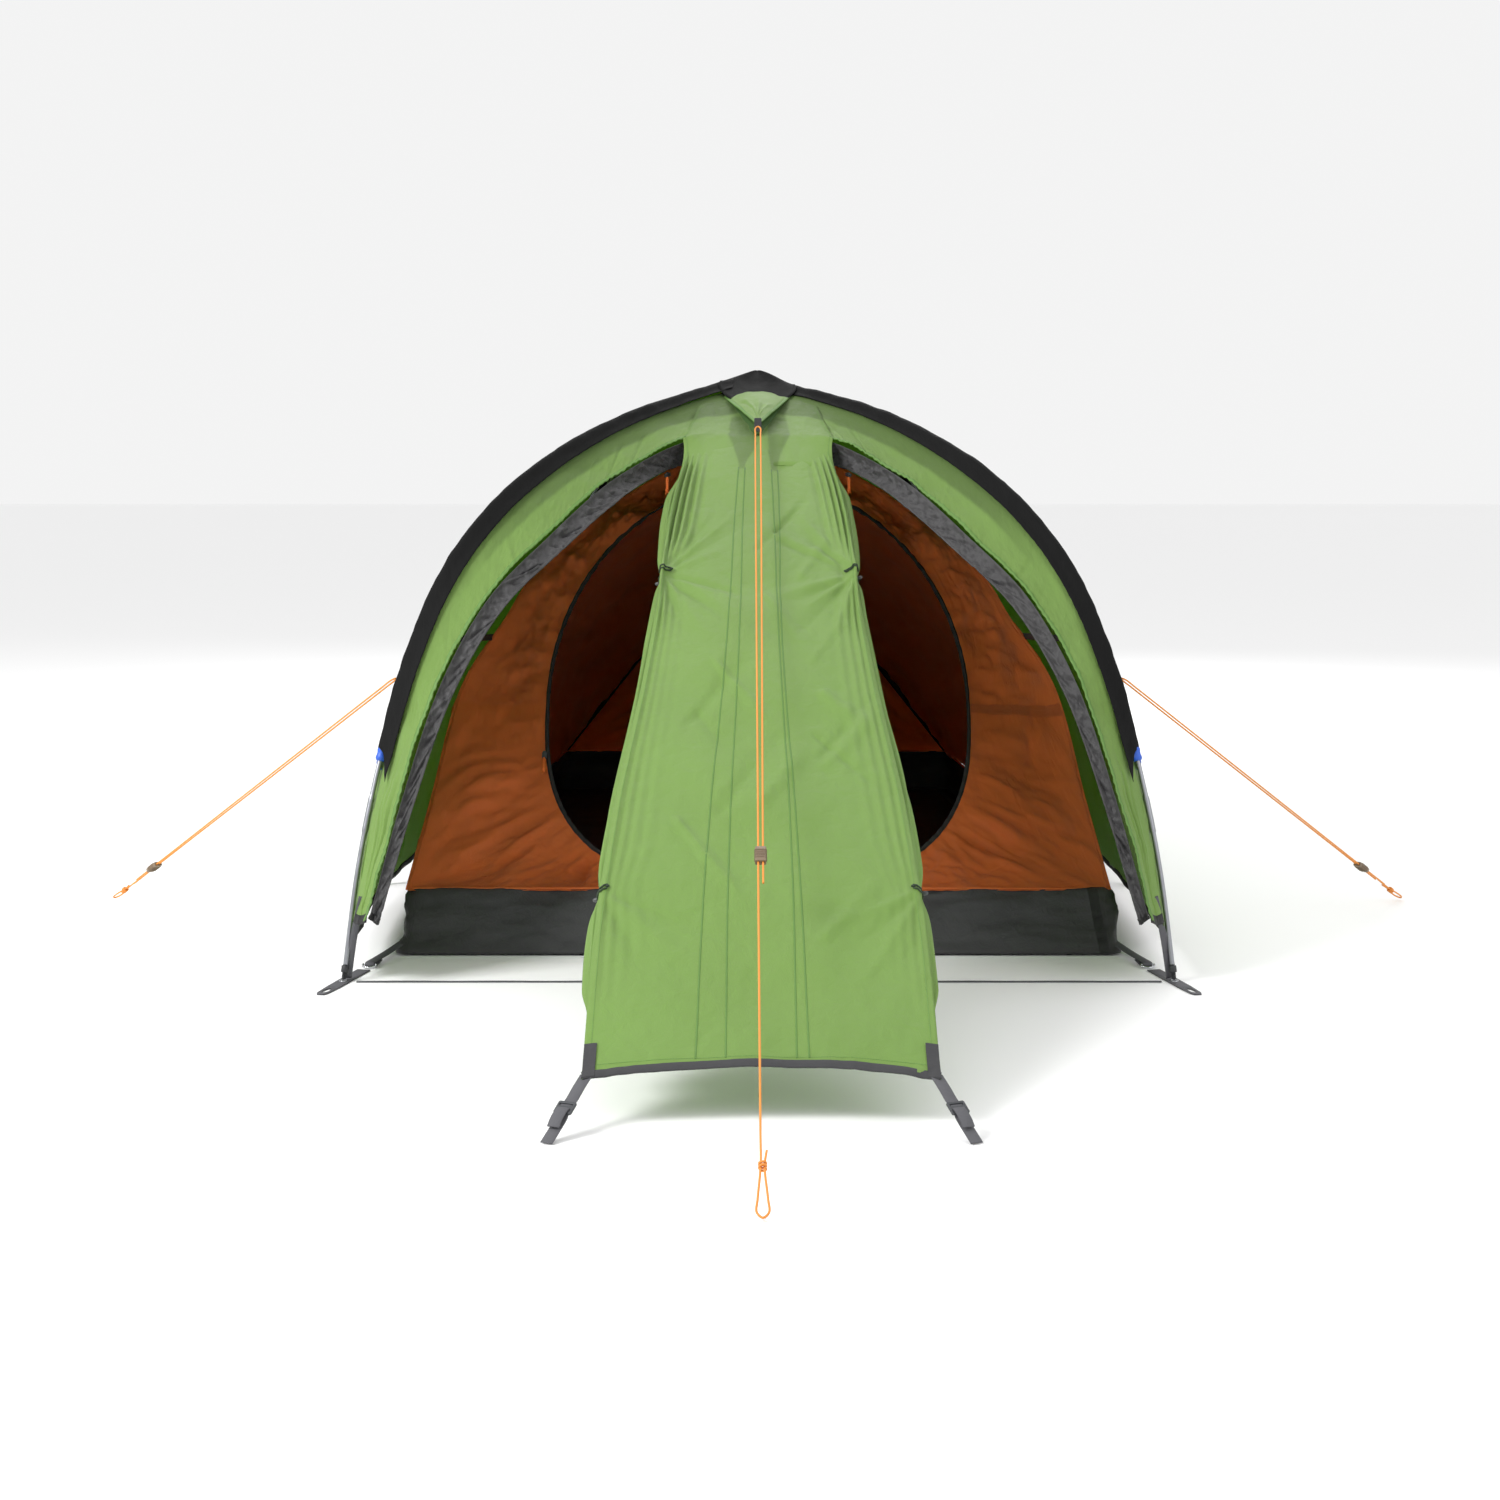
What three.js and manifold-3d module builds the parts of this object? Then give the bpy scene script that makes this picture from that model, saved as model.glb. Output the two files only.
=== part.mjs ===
// Two-person dome tent: two crossing poles, a flysheet with a porch, and a hung inner tent.
// Millimetres, +Z up, the front faces -Y. Left is -X, right is +X.
// The origin is the centre of the groundsheet's underside.
import * as THREE from 'three';
import { mergeVertices } from 'three/addons/utils/BufferGeometryUtils.js';
import Module from 'manifold-3d';

const wasm = await Module();
wasm.setup();

// Driving dimensions
const floorLength = 2170;
const floorFrontHalf = 648;
const floorRearHalf = 515;
const bucketHeight = 100;
const footHalfFront = 700;
const footHalfRear = 600;
const footLead = 213; // from the floor's front edge to the front pole feet
const footTrail = 147; // from the floor's rear edge to the rear pole feet
const apexBack = 1000; // from the front pole feet to the crossing
const apexHeight = 1044; // centre of the upper pole at the crossing
const poleRadius = 4.25;
const poleSpacing = 10; // between the two pole centres at the crossing
const sleeveRadius = 12;
const sleeveEndHeight = 385;
const skinGap = 17; // from a pole's centre to the edge of a fly wall
const skin = 3; // thickness of every fabric solid
const hemHeight = 52;
const sideHemReach = 723; // half width of the fly at its side pegs
const rearHemBulge = 75;
const guyRadius = 1.5;
const guySteps = 54;

const frontY = -floorLength / 2;
const rearY = floorLength / 2;
const footFrontY = frontY - footLead;
const footRearY = rearY + footTrail;
const apexY = footFrontY + apexBack;
const point = (x, y, z) => new THREE.Vector3(x, y, z);
const place = (x, back, z) => point(x, footFrontY + back, z); // back is measured from the front feet

// How a pole rises: share of the way from foot to crossing, and share of the height
const rise = [[0, 0], [0.035, 0.19], [0.085, 0.366], [0.146, 0.526], [0.234, 0.67], [0.38, 0.798],
  [0.617, 0.908], [1, 1]];

function legCurve(side, halfWidth, footY, top) {
  const points = rise.map(([share, height]) => point(
    side * halfWidth * (1 - share), footY + (apexY - footY) * share, top * height));
  return new THREE.CatmullRomCurve3(points, false, 'centripetal');
}

const legTop = apexHeight - poleSpacing / 2;
const legs = {
  frontLeft: legCurve(-1, footHalfFront, footFrontY, legTop),
  frontRight: legCurve(1, footHalfFront, footFrontY, legTop),
  rearLeft: legCurve(-1, footHalfRear, footRearY, legTop),
  rearRight: legCurve(1, footHalfRear, footRearY, legTop),
};

// The share of a leg's length at which it reaches a height
function shareAtHeight(curve, height) {
  let low = 0;
  let high = 1;
  for (let step = 0; step < 40; step += 1) {
    const middle = (low + high) / 2;
    if (curve.getPointAt(middle).z < height) low = middle;
    else high = middle;
  }
  return (low + high) / 2;
}

const tent = new THREE.Group();

function finish(color, roughness = 0.8, metalness = 0) {
  return new THREE.MeshStandardMaterial({ color, roughness, metalness });
}

const colours = {
  fly: 0x8fb866, sleeve: 0x1b1b19, flap: 0x4a4b48, grey: 0x55565a, inner: 0xb9622c, floor: 0x4a4a49,
  webbing: 0x55555a, cord: 0xd98a34, runner: 0x8a7a68, pull: 0xd9702c, blue: 0x2c5fb0, buckle: 0x3a3c3e,
};
const alloy = finish(0xb8bcc0, 0.35, 1);

function add(name, geometry, material) {
  const mesh = new THREE.Mesh(geometry, material);
  mesh.name = name;
  tent.add(mesh);
  return mesh;
}

// A closed sheet on a surface(u, v), thick along the surface's normal
function sheet(surface, across, along, thick = skin) {
  const geometry = new THREE.BoxGeometry(1, 1, 1, across, along, 1);
  const position = geometry.attributes.position;
  const step = 1e-3;
  for (let i = 0; i < position.count; i += 1) {
    const u = position.getX(i) + 0.5;
    const v = position.getY(i) + 0.5;
    const alongU = surface(Math.min(1, u + step), v).sub(surface(Math.max(0, u - step), v));
    const alongV = surface(u, Math.min(1, v + step)).sub(surface(u, Math.max(0, v - step)));
    const normal = alongU.cross(alongV).normalize();
    const spot = surface(u, v).addScaledVector(normal, position.getZ(i) * thick);
    position.setXYZ(i, spot.x, spot.y, spot.z);
  }
  return geometry;
}

// The same surface on the other side of the tent, still facing the same way
const mirrored = (surface) => (u, v) => {
  const spot = surface(1 - u, v);
  spot.x = -spot.x;
  return spot;
};

// A round bar along a curve
function bar(curve, radius, sides, steps) {
  const section = new THREE.Shape();
  for (let i = 0; i < sides; i += 1) {
    const angle = (2 * Math.PI * (i + 0.5)) / sides;
    const corner = [radius * Math.cos(angle), radius * Math.sin(angle)];
    if (i === 0) section.moveTo(...corner);
    else section.lineTo(...corner);
  }
  section.closePath();
  return new THREE.ExtrudeGeometry(section, { steps, extrudePath: curve, bevelEnabled: false });
}

// A hollow tube along a curve
function hollowBar(curve, radius, boreRadius, sides, steps) {
  const section = new THREE.Shape();
  const bore = new THREE.Path();
  for (let i = 0; i < sides; i += 1) {
    const angle = (2 * Math.PI * i) / sides;
    const spoke = [Math.cos(angle), Math.sin(angle)];
    const outline = i === 0 ? 'moveTo' : 'lineTo';
    section[outline](radius * spoke[0], radius * spoke[1]);
    bore[outline](boreRadius * spoke[0], boreRadius * spoke[1]);
  }
  section.closePath();
  bore.closePath();
  section.holes.push(bore);
  return new THREE.ExtrudeGeometry(section, { steps, extrudePath: curve, bevelEnabled: false });
}

const smooth = (points) => new THREE.CatmullRomCurve3(points, false, 'centripetal');

// The part of a curve between two shares of its length
function stretch(curve, from, to, count = 24) {
  const points = [];
  for (let i = 0; i <= count; i += 1) points.push(curve.getPointAt(from + ((to - from) * i) / count));
  return smooth(points);
}

// A flat strap along points; its width runs along the across direction
function strap(points, width, thick, across, steps) {
  const curve = smooth(points);
  const direction = across.clone().normalize();
  return sheet((u, v) => curve.getPointAt(v).addScaledVector(direction, (u - 0.5) * width), 1, steps, thick);
}

function solidOf(geometry) {
  const bare = geometry.clone();
  bare.deleteAttribute('normal');
  bare.deleteAttribute('uv');
  const merged = mergeVertices(bare, 1e-4);
  return new wasm.Manifold(new wasm.Mesh({
    numProp: 3,
    vertProperties: new Float32Array(merged.attributes.position.array),
    triVerts: new Uint32Array(merged.index.array),
  }));
}

function geometryOf(solid) {
  const mesh = solid.getMesh();
  const geometry = new THREE.BufferGeometry();
  geometry.setAttribute('position', new THREE.BufferAttribute(mesh.vertProperties, 3));
  geometry.setIndex(new THREE.BufferAttribute(mesh.triVerts, 1));
  geometry.computeVertexNormals();
  return geometry;
}

// A geometry turned so that its Z axis lies along a direction, then moved to a spot
function aimed(geometry, direction, spot, up = point(0, 0, 1)) {
  const z = direction.clone().normalize();
  const x = up.clone().cross(z).normalize();
  const y = z.clone().cross(x);
  const matrix = new THREE.Matrix4().makeBasis(x, y, z).setPosition(spot);
  return geometry.applyMatrix4(matrix);
}

// ---- Poles: each runs in its two legs and crosses the other at the top

function poleRun(leg, lift, from, to) {
  const points = [];
  const count = 26;
  for (let i = 0; i <= count; i += 1) {
    const share = from + ((to - from) * i) / count;
    const spot = leg.getPointAt(share);
    const near = THREE.MathUtils.smoothstep(share, 0.8, 1);
    spot.z += lift * near;
    points.push(spot);
  }
  return smooth(points);
}

const joinGap = 0.0008; // share of a leg, so that two runs meet face to face with a small gap
const tipShare = 0.016;
const poles = {
  pole_a_front: ['frontLeft', poleSpacing / 2],
  pole_a_rear: ['rearRight', poleSpacing / 2],
  pole_b_front: ['frontRight', -poleSpacing / 2],
  pole_b_rear: ['rearLeft', -poleSpacing / 2],
};
for (const [name, [leg, lift]] of Object.entries(poles)) {
  add(name, bar(poleRun(legs[leg], lift, tipShare, 1 - joinGap), poleRadius, 8, 20), alloy);
}

// ---- Pole tips: a plug that stands on the ground through the foot strap's eyelet

const tipLength = 24;
const tipProfile = [[0, 0], [3.2, 0], [4, 2], [4, 12], [6.5, 13], [6.5, tipLength], [0, tipLength]];
for (const [end, leg] of Object.entries({
  front_left: legs.frontLeft, front_right: legs.frontRight, rear_left: legs.rearLeft, rear_right: legs.rearRight,
})) {
  const top = leg.getPointAt(tipShare);
  const down = leg.getPointAt(0).sub(top).normalize();
  const tip = new THREE.LatheGeometry(tipProfile.map(([r, h]) => new THREE.Vector2(r, h)), 10);
  tip.rotateX(Math.PI / 2);
  const base = top.clone().addScaledVector(down, tipLength + 0.4);
  add(`pole_tip_${end}`, aimed(tip, down.clone().negate(), base, point(1, 0, 0)), finish(0x2a2b2d, 0.5));
}

// ---- Sleeves, with a blue lock at each front end

const sleeveTop = 0.966;
for (const [end, leg] of Object.entries({
  front_left: ['frontLeft', 1], front_right: ['frontRight', -1], rear_left: ['rearLeft', -1],
  rear_right: ['rearRight', 1],
})) {
  const lift = (leg[1] * poleSpacing) / 2;
  const start = shareAtHeight(legs[leg[0]], sleeveEndHeight);
  const curve = poleRun(legs[leg[0]], lift, start, sleeveTop);
  add(`sleeve_${end}`, hollowBar(curve, sleeveRadius, poleRadius + 2.4, 8, 14), finish(colours.sleeve, 0.75));
}
for (const [name, leg] of [['sleeve_lock_left', legs.frontLeft], ['sleeve_lock_right', legs.frontRight]]) {
  const start = shareAtHeight(leg, sleeveEndHeight);
  const curve = stretch(leg, start - 0.012, start - 0.0006, 4);
  add(name, hollowBar(curve, 9, poleRadius + 0.6, 8, 2), finish(colours.blue, 0.5));
}

// ---- Fly walls between the legs

const lowShare = (leg) => shareAtHeight(leg, hemHeight);

// How far along a chord a wall has to start to stay clear of the sleeve round a leg
function clearance(leg, share, chord) {
  const turn = leg.getTangentAt(share).angleTo(chord);
  return Math.min(0.42, skinGap / Math.max(0.2, Math.sin(turn)) / chord.length());
}

// A wall between two legs: u runs from the first leg to the second, v from the hem to the crossing
function wallBetween(first, second, bulge) {
  const topShare = 0.965;
  return (u, v) => {
    const shareA = THREE.MathUtils.lerp(lowShare(first), topShare, v);
    const shareB = THREE.MathUtils.lerp(lowShare(second), topShare, v);
    const a = first.getPointAt(shareA);
    const chord = second.getPointAt(shareB).sub(a);
    const start = clearance(first, shareA, chord);
    const end = 1 - clearance(second, shareB, chord);
    const spot = a.addScaledVector(chord, THREE.MathUtils.lerp(start, end, u));
    return spot.add(bulge(u, v));
  };
}

const hump = (u) => Math.sin(Math.PI * u) ** 0.8;
const sideBulge = (u, v) => point(66 * hump(u) * (1 - v) ** 1.6, 0, -3 * hump(u));
const rearBulge = (u, v) => point(0, rearHemBulge * hump(u) * (1 - v) ** 1.6, 0);
const rightWall = wallBetween(legs.frontRight, legs.rearRight, sideBulge);
const rearWall = wallBetween(legs.rearRight, legs.rearLeft, rearBulge);
add('fly_side_right', sheet(rightWall, 10, 12), finish(colours.fly));
add('fly_side_left', sheet(mirrored(rightWall), 10, 12), finish(colours.fly));
add('fly_rear', sheet(rearWall, 8, 12), finish(colours.fly));

// ---- Front: bands from the sleeves to the door zips, and the centre porch panel

const panelLine = new THREE.QuadraticBezierCurve3(place(0, 660, 915), place(0, -110, 520), place(0, -873, 60));
const panelHalfWidth = smooth([point(0, 0, 128), point(0.1, 0, 160), point(0.3, 0, 172), point(0.5, 0, 192),
  point(0.75, 0, 220), point(0.9, 0, 236), point(1, 0, 238)]);
const panel = (u, v) => {
  const spot = panelLine.getPoint(1 - v);
  spot.x = (2 * u - 1) * panelHalfWidth.getPoint(1 - v).z;
  spot.z += 10 * Math.cos(Math.PI * (u - 0.5)) * Math.sin(Math.PI * v);
  return spot;
};
add('porch_panel', sheet(panel, 6, 14), finish(colours.fly));

const panelTopGap = 6;
const zipLine = smooth([place(1.5, 662 + panelTopGap, 919), place(70, 654 + panelTopGap, 918),
  place(130, 632 + panelTopGap, 915), place(265, 480, 846), place(380, 300, 740), place(472, 185, 640),
  place(545, 90, 500), place(600, 5, 320), place(657, -36, 110)]);
const bandLow = shareAtHeight(legs.frontRight, 100);
const band = (u, v) => {
  const share = THREE.MathUtils.lerp(0.9985, bandLow, v);
  const onLeg = legs.frontRight.getPointAt(share);
  const chord = zipLine.getPointAt(v).sub(onLeg);
  const start = THREE.MathUtils.lerp(clearance(legs.frontRight, share, chord), 1, 1 - u);
  const spot = onLeg.addScaledVector(chord, start);
  spot.z -= 4 * Math.sin(Math.PI * u);
  return spot;
};
add('fly_band_right', sheet(band, 3, 22), finish(colours.fly));
add('fly_band_left', sheet(mirrored(band), 3, 22), finish(colours.fly));

// Storm flaps hang inside the zip edge
const flapStart = 0.125;
const flapInner = (v) => {
  const spot = zipLine.getPointAt(THREE.MathUtils.lerp(flapStart, 0.992, v));
  const width = THREE.MathUtils.lerp(50, 26, v);
  const turned = Math.min(1, v / 0.2);
  return spot.add(point(-0.74 * width * turned, -0.05 * width, -width * THREE.MathUtils.lerp(0.95, 0.62, turned)));
};
const flap = (u, v) => {
  const edge = zipLine.getPointAt(THREE.MathUtils.lerp(flapStart, 0.992, v));
  edge.add(point(-5, 0, -5));
  return edge.lerp(flapInner(v), 1 - u);
};
add('storm_flap_right', sheet(flap, 2, 18, 2.4), finish(colours.flap));
add('storm_flap_left', sheet(mirrored(flap), 2, 18, 2.4), finish(colours.flap));

// Porch doors, rolled up behind the panel's edges
const rollRadius = 15;
function rollPath(side) {
  const points = [];
  for (let i = 0; i <= 12; i += 1) {
    const v = THREE.MathUtils.lerp(0.07, 0.92, i / 12);
    const spot = panelLine.getPoint(1 - v);
    spot.x = side * (panelHalfWidth.getPoint(1 - v).z - 6);
    spot.y += rollRadius + 8;
    spot.z -= rollRadius - 4;
    points.push(spot);
  }
  return smooth(points);
}
add('door_roll_left', bar(rollPath(-1), rollRadius, 8, 16), finish(colours.fly));
add('door_roll_right', bar(rollPath(1), rollRadius, 8, 16), finish(colours.fly));

// ---- Vent hood: a small visor over the crossing, and the tab for the front guy line

const hoodTip = place(0, 655, 945);
const hoodHalf = 68;
const hoodBack = (u) => {
  const arch = Math.sin(Math.PI * u);
  return place((2 * u - 1) * hoodHalf, 872 + 22 * arch, 1012 + 8 * arch);
};
const hood = (u, v) => {
  const front = hoodTip.clone().add(point((2 * u - 1) * 5, 0, 0));
  const spot = front.lerp(hoodBack(u), v);
  spot.z += 10 * Math.sin(Math.PI * v) * Math.sin(Math.PI * u);
  return spot;
};
add('vent_hood', sheet(hood, 6, 6, 2.4), finish(colours.fly));
const tabSpot = hoodTip.clone().add(point(0, -7, -6));
add('vent_tab', new THREE.BoxGeometry(14, 4, 26).translate(tabSpot.x, tabSpot.y, tabSpot.z), finish(colours.grey));

// ---- Inner tent

const wallLean = 0.754; // how far the inner's front leans back for each unit of height
const innerFrontY = (z) => frontY + wallLean * z;
const frontOutline = smooth([point(632, 0, bucketHeight + 4), point(600, 0, 250), point(556, 0, 450),
  point(482, 0, 570), point(435, 0, 648), point(280, 0, 785), point(120, 0, 880), point(24, 0, 926)]);
const frontEdge = (v) => {
  const spot = frontOutline.getPointAt(v);
  return point(spot.x, innerFrontY(spot.z), spot.z);
};
const ridgeRear = place(2, 2020, 748);
const rearCorner = point(508, rearY - 44, bucketHeight + 4);
const innerFront = (u, v) => {
  const edge = frontEdge(v);
  return point((2 * u - 1) * (edge.x - 3), edge.y - 2, edge.z);
};

// The doorway: an ellipse above its widest line, squarer below
const doorHalf = 395;
const doorMiddle = 420;
const doorUp = 410;
const doorDown = 308;
function doorShape(grow) {
  const shape = new THREE.Shape();
  const count = 40;
  for (let i = 0; i < count; i += 1) {
    const angle = (2 * Math.PI * i) / count;
    const c = Math.cos(angle);
    const s = Math.sin(angle);
    const power = s > 0 ? 1 : 2 / 2.8;
    const x = (doorHalf + grow) * Math.sign(c) * Math.abs(c) ** power;
    const y = (s > 0 ? doorUp + grow : doorDown + grow) * Math.sign(s) * Math.abs(s) ** power;
    if (i === 0) shape.moveTo(x, y);
    else shape.lineTo(x, y);
  }
  shape.closePath();
  return shape;
}
const doorPunch = new THREE.ExtrudeGeometry(doorShape(0), { depth: 200, bevelEnabled: false });
doorPunch.rotateX(Math.PI / 2);
doorPunch.translate(0, 0, doorMiddle);
doorPunch.translate(0, innerFrontY(doorMiddle) + 100, 0);
const leanDoor = doorPunch.attributes.position;
for (let i = 0; i < leanDoor.count; i += 1) {
  leanDoor.setY(i, leanDoor.getY(i) + wallLean * (leanDoor.getZ(i) - doorMiddle));
}
const innerFrontSolid = solidOf(sheet(innerFront, 8, 12)).subtract(solidOf(doorPunch));
add('inner_front', geometryOf(innerFrontSolid), finish(colours.inner));

const innerSide = (u, v) => {
  const a = frontEdge(v);
  a.x = Math.max(a.x, 2);
  const b = rearCorner.clone().lerp(ridgeRear, v);
  if (v > 0.999) a.x = 2;
  a.y += 6;
  b.y -= 6;
  const spot = a.lerp(b, u);
  const swell = Math.sin(Math.PI * u);
  return spot.add(point(34 * swell * Math.sin(Math.PI * v), 0, 16 * swell * Math.sin(Math.PI * v)));
};
add('inner_right', sheet(innerSide, 10, 10), finish(colours.inner));
add('inner_left', sheet(mirrored(innerSide), 10, 10), finish(colours.inner));
const innerRear = (u, v) => {
  const edge = rearCorner.clone().lerp(ridgeRear, v * 0.97);
  return point((1 - 2 * u) * Math.max(4, edge.x - 2), edge.y + 4 + 18 * Math.sin(Math.PI * u) * (1 - v), edge.z);
};
add('inner_rear', sheet(innerRear, 6, 8), finish(colours.inner));

// Bucket groundsheet: a tray with leaning walls
function tray(inset, low, high) {
  const geometry = new THREE.BoxGeometry(1, 1, 1);
  const position = geometry.attributes.position;
  for (let i = 0; i < position.count; i += 1) {
    const z = position.getZ(i) > 0 ? high : low;
    const isRear = position.getY(i) > 0;
    const half = (isRear ? floorRearHalf : floorFrontHalf) - 0.16 * z - inset;
    const y = isRear ? rearY - 0.4 * z - inset : innerFrontY(z) + inset;
    position.setXYZ(i, Math.sign(position.getX(i)) * half, y, z);
  }
  return geometry;
}
const bucket = solidOf(tray(0, 0, bucketHeight)).subtract(solidOf(tray(4, 4, bucketHeight + 10)));
add('groundsheet', geometryOf(bucket), finish(colours.floor));

// Inner door, rolled inside along the sill
const sillRoll = smooth([place(-250, 345, 24), place(-120, 352, 24), place(0, 356, 24), place(120, 352, 24),
  place(250, 345, 24)]);
add('inner_door_roll', bar(sillRoll, 18, 8, 8), finish(colours.inner));

// ---- Zip sliders and their cord pulls

function slider(spot, direction, normal) {
  const body = new THREE.BoxGeometry(9, 5, 15);
  const z = direction.clone().normalize();
  const y = normal.clone().normalize();
  const x = y.clone().cross(z).normalize();
  const basis = new THREE.Matrix4().makeBasis(x, z.clone().cross(x), z).setPosition(spot);
  return body.applyMatrix4(basis);
}

// A cord pull that lies against the fabric below its slider
function pull(top, way, length) {
  const end = top.clone().addScaledVector(way, length);
  return bar(smooth([top, top.clone().lerp(end, 0.5), end]), pullRadius, 6, 4);
}

const pullRadius = 2.2;
const zipSpot = flapInner(0.02).add(point(0, 0, -9));
const zipWay = flapInner(0.1).add(point(0, 0, -9)).sub(zipSpot).normalize();
const zipOut = point(0.35, -0.55, 0.75).normalize();
const pullWay = point(0, -0.5, -0.866);
for (const side of [-1, 1]) {
  const hand = side < 0 ? 'left' : 'right';
  const mirror = point(side, 1, 1);
  const spot = zipSpot.clone().multiply(mirror);
  const body = slider(spot, zipWay.clone().multiply(mirror), zipOut.clone().multiply(mirror));
  add(`door_slider_${hand}`, body, finish(colours.buckle, 0.5));
  const top = spot.clone().add(point(0, -9, -5));
  add(`door_pull_${hand}`, pull(top, pullWay, 38), finish(colours.pull));
}
const innerZipSpot = point(-doorHalf - 1, innerFrontY(330) - 11, 330);
const innerZipWay = point(0, wallLean, 1).normalize();
add('inner_slider', slider(innerZipSpot, innerZipWay, point(0, -1, wallLean)), finish(colours.buckle, 0.5));
const innerPullTop = innerZipSpot.clone().add(point(0, -9, -4));
add('inner_pull', pull(innerPullTop, innerZipWay.clone().negate(), 36), finish(colours.pull));

// ---- Corner straps, D-rings and peg loops

// A closed D-shaped ring in the XY plane; its straight bar lies on the X axis
function dRing(half, tube) {
  const sides = 6;
  const around = 20;
  const geometry = new THREE.TorusGeometry(half, tube, sides, around);
  const path = (i) => {
    const angle = (2 * Math.PI * i) / around;
    const c = Math.cos(angle);
    const s = Math.sin(angle);
    if (s > 0) return new THREE.Vector2(half * Math.sign(c) * Math.sqrt(Math.abs(c)), 0.14 * half * Math.sqrt(s));
    return new THREE.Vector2(half * c, half * s);
  };
  const position = geometry.attributes.position;
  let index = 0;
  for (let j = 0; j <= sides; j += 1) {
    const turn = (2 * Math.PI * j) / sides;
    for (let i = 0; i <= around; i += 1) {
      const along = path(i + 0.3).sub(path(i - 0.3)).normalize();
      const spot = path(i % around);
      const reach = tube * Math.cos(turn);
      position.setXYZ(index, spot.x + along.y * reach, spot.y - along.x * reach - 0.14 * half,
        tube * Math.sin(turn));
      index += 1;
    }
  }
  return geometry;
}

// A webbing end folded round a bar: a short tube of webbing
function foldedEnd(width, bore, thick) {
  const shape = new THREE.Shape();
  shape.absarc(0, 0, bore + thick, 0, Math.PI * 2, false);
  const hole = new THREE.Path();
  hole.absarc(0, 0, bore, 0, Math.PI * 2, true);
  shape.holes.push(hole);
  const geometry = new THREE.ExtrudeGeometry(shape, { depth: width, bevelEnabled: false, curveSegments: 8 });
  return geometry.translate(0, 0, -width / 2);
}

// A strap that lies flat on the ground, with an eyelet for a pole tip
function groundPlate(start, end, half, eyeShare) {
  const run = end.clone().sub(start);
  const long = run.length();
  const shape = new THREE.Shape();
  shape.moveTo(-half, 0);
  shape.lineTo(half, 0);
  shape.lineTo(half, long);
  shape.lineTo(-half, long);
  shape.closePath();
  const eye = new THREE.Path();
  eye.absarc(0, long * eyeShare, eyeletRadius, 0, Math.PI * 2, true);
  shape.holes.push(eye);
  const plate = new THREE.ExtrudeGeometry(shape, { depth: footStrapThick, bevelEnabled: false, curveSegments: 6 });
  plate.rotateZ(Math.atan2(run.y, run.x) - Math.PI / 2);
  return plate.translate(start.x, start.y, 0);
}

const strapThick = 2;
const footStrapThick = 2.2;
const eyeletRadius = 5.4;
const ringHalf = 13;
const ringTube = 1.8;
const loopBore = 3;
const loopThick = 1.6;
const ringHeight = loopBore + loopThick + 0.6;
const pegLoopReach = 102; // from a front pole foot to the end of its peg loop
const flipTo = (side) => (spot) => spot.multiply(point(side, 1, 1));
for (const side of [-1, 1]) {
  const hand = side < 0 ? 'left' : 'right';
  const flip = flipTo(side);
  const corner = flip(point(floorFrontHalf + 3, frontY - 3, ringHeight + 2));
  const ringSpot = flip(place(673, 118, ringHeight));
  const way = ringSpot.clone().sub(corner).setZ(0).normalize();
  const across = point(-way.y, way.x, 0);
  const strapEnd = ringSpot.clone().addScaledVector(way, -loopBore - 0.4);
  const webbing = strap([corner, corner.clone().lerp(strapEnd, 0.5), strapEnd], 20, strapThick, across, 4);
  const fold = aimed(foldedEnd(15, loopBore, loopThick), across, ringSpot);
  add(`corner_strap_${hand}`, geometryOf(solidOf(webbing).add(solidOf(fold))), finish(colours.webbing));
  const dip = Math.asin((ringHeight - ringTube - 0.4) / ringHalf);
  const down = way.clone().multiplyScalar(Math.cos(dip)).add(point(0, 0, -Math.sin(dip)));
  const ringUp = down.clone().negate();
  const ringBasis = new THREE.Matrix4().makeBasis(across, ringUp, across.clone().cross(ringUp));
  add(`d_ring_${hand}`, dRing(ringHalf, ringTube).applyMatrix4(ringBasis.setPosition(ringSpot)), alloy);
  const foot = flip(place(footHalfFront, 0, 0));
  const start = flip(place(680, 92, 0));
  const outward = foot.clone().sub(start).normalize();
  const end = foot.clone().addScaledVector(outward, pegLoopReach);
  const eyeShare = foot.distanceTo(start) / end.distanceTo(start);
  add(`foot_strap_${hand}`, groundPlate(start, end, 12, eyeShare), finish(colours.webbing));
}
for (const side of [-1, 1]) {
  const hand = side < 0 ? 'left' : 'right';
  const start = point(side * (floorRearHalf + 1), rearY + 3, 0);
  const foot = point(side * footHalfRear, footRearY, 0);
  const outward = foot.clone().sub(start).normalize();
  const end = foot.clone().addScaledVector(outward, pegLoopReach);
  const eyeShare = foot.distanceTo(start) / end.distanceTo(start);
  add(`rear_foot_strap_${hand}`, groundPlate(start, end, 11, eyeShare), finish(colours.webbing));
}
const groundStrap = new THREE.BoxGeometry(2 * footHalfFront - 44, 8, 1.6).translate(0, footFrontY, 0.8);
add('ground_strap', groundStrap, finish(colours.webbing));

// Side hem straps: from the fly's hem to the side peg, with a buckle
for (const side of [-1, 1]) {
  const hand = side < 0 ? 'left' : 'right';
  const top = place(side * (sideHemReach + 6), 935, hemHeight - 4);
  const low = place(side * (sideHemReach + 52), 935, 6);
  const end = place(side * (sideHemReach + 96), 935, 2.4);
  add(`side_peg_strap_${hand}`, strap([top, low, end], 18, 2, point(0, 1, 0), 8), finish(colours.webbing));
}

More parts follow.
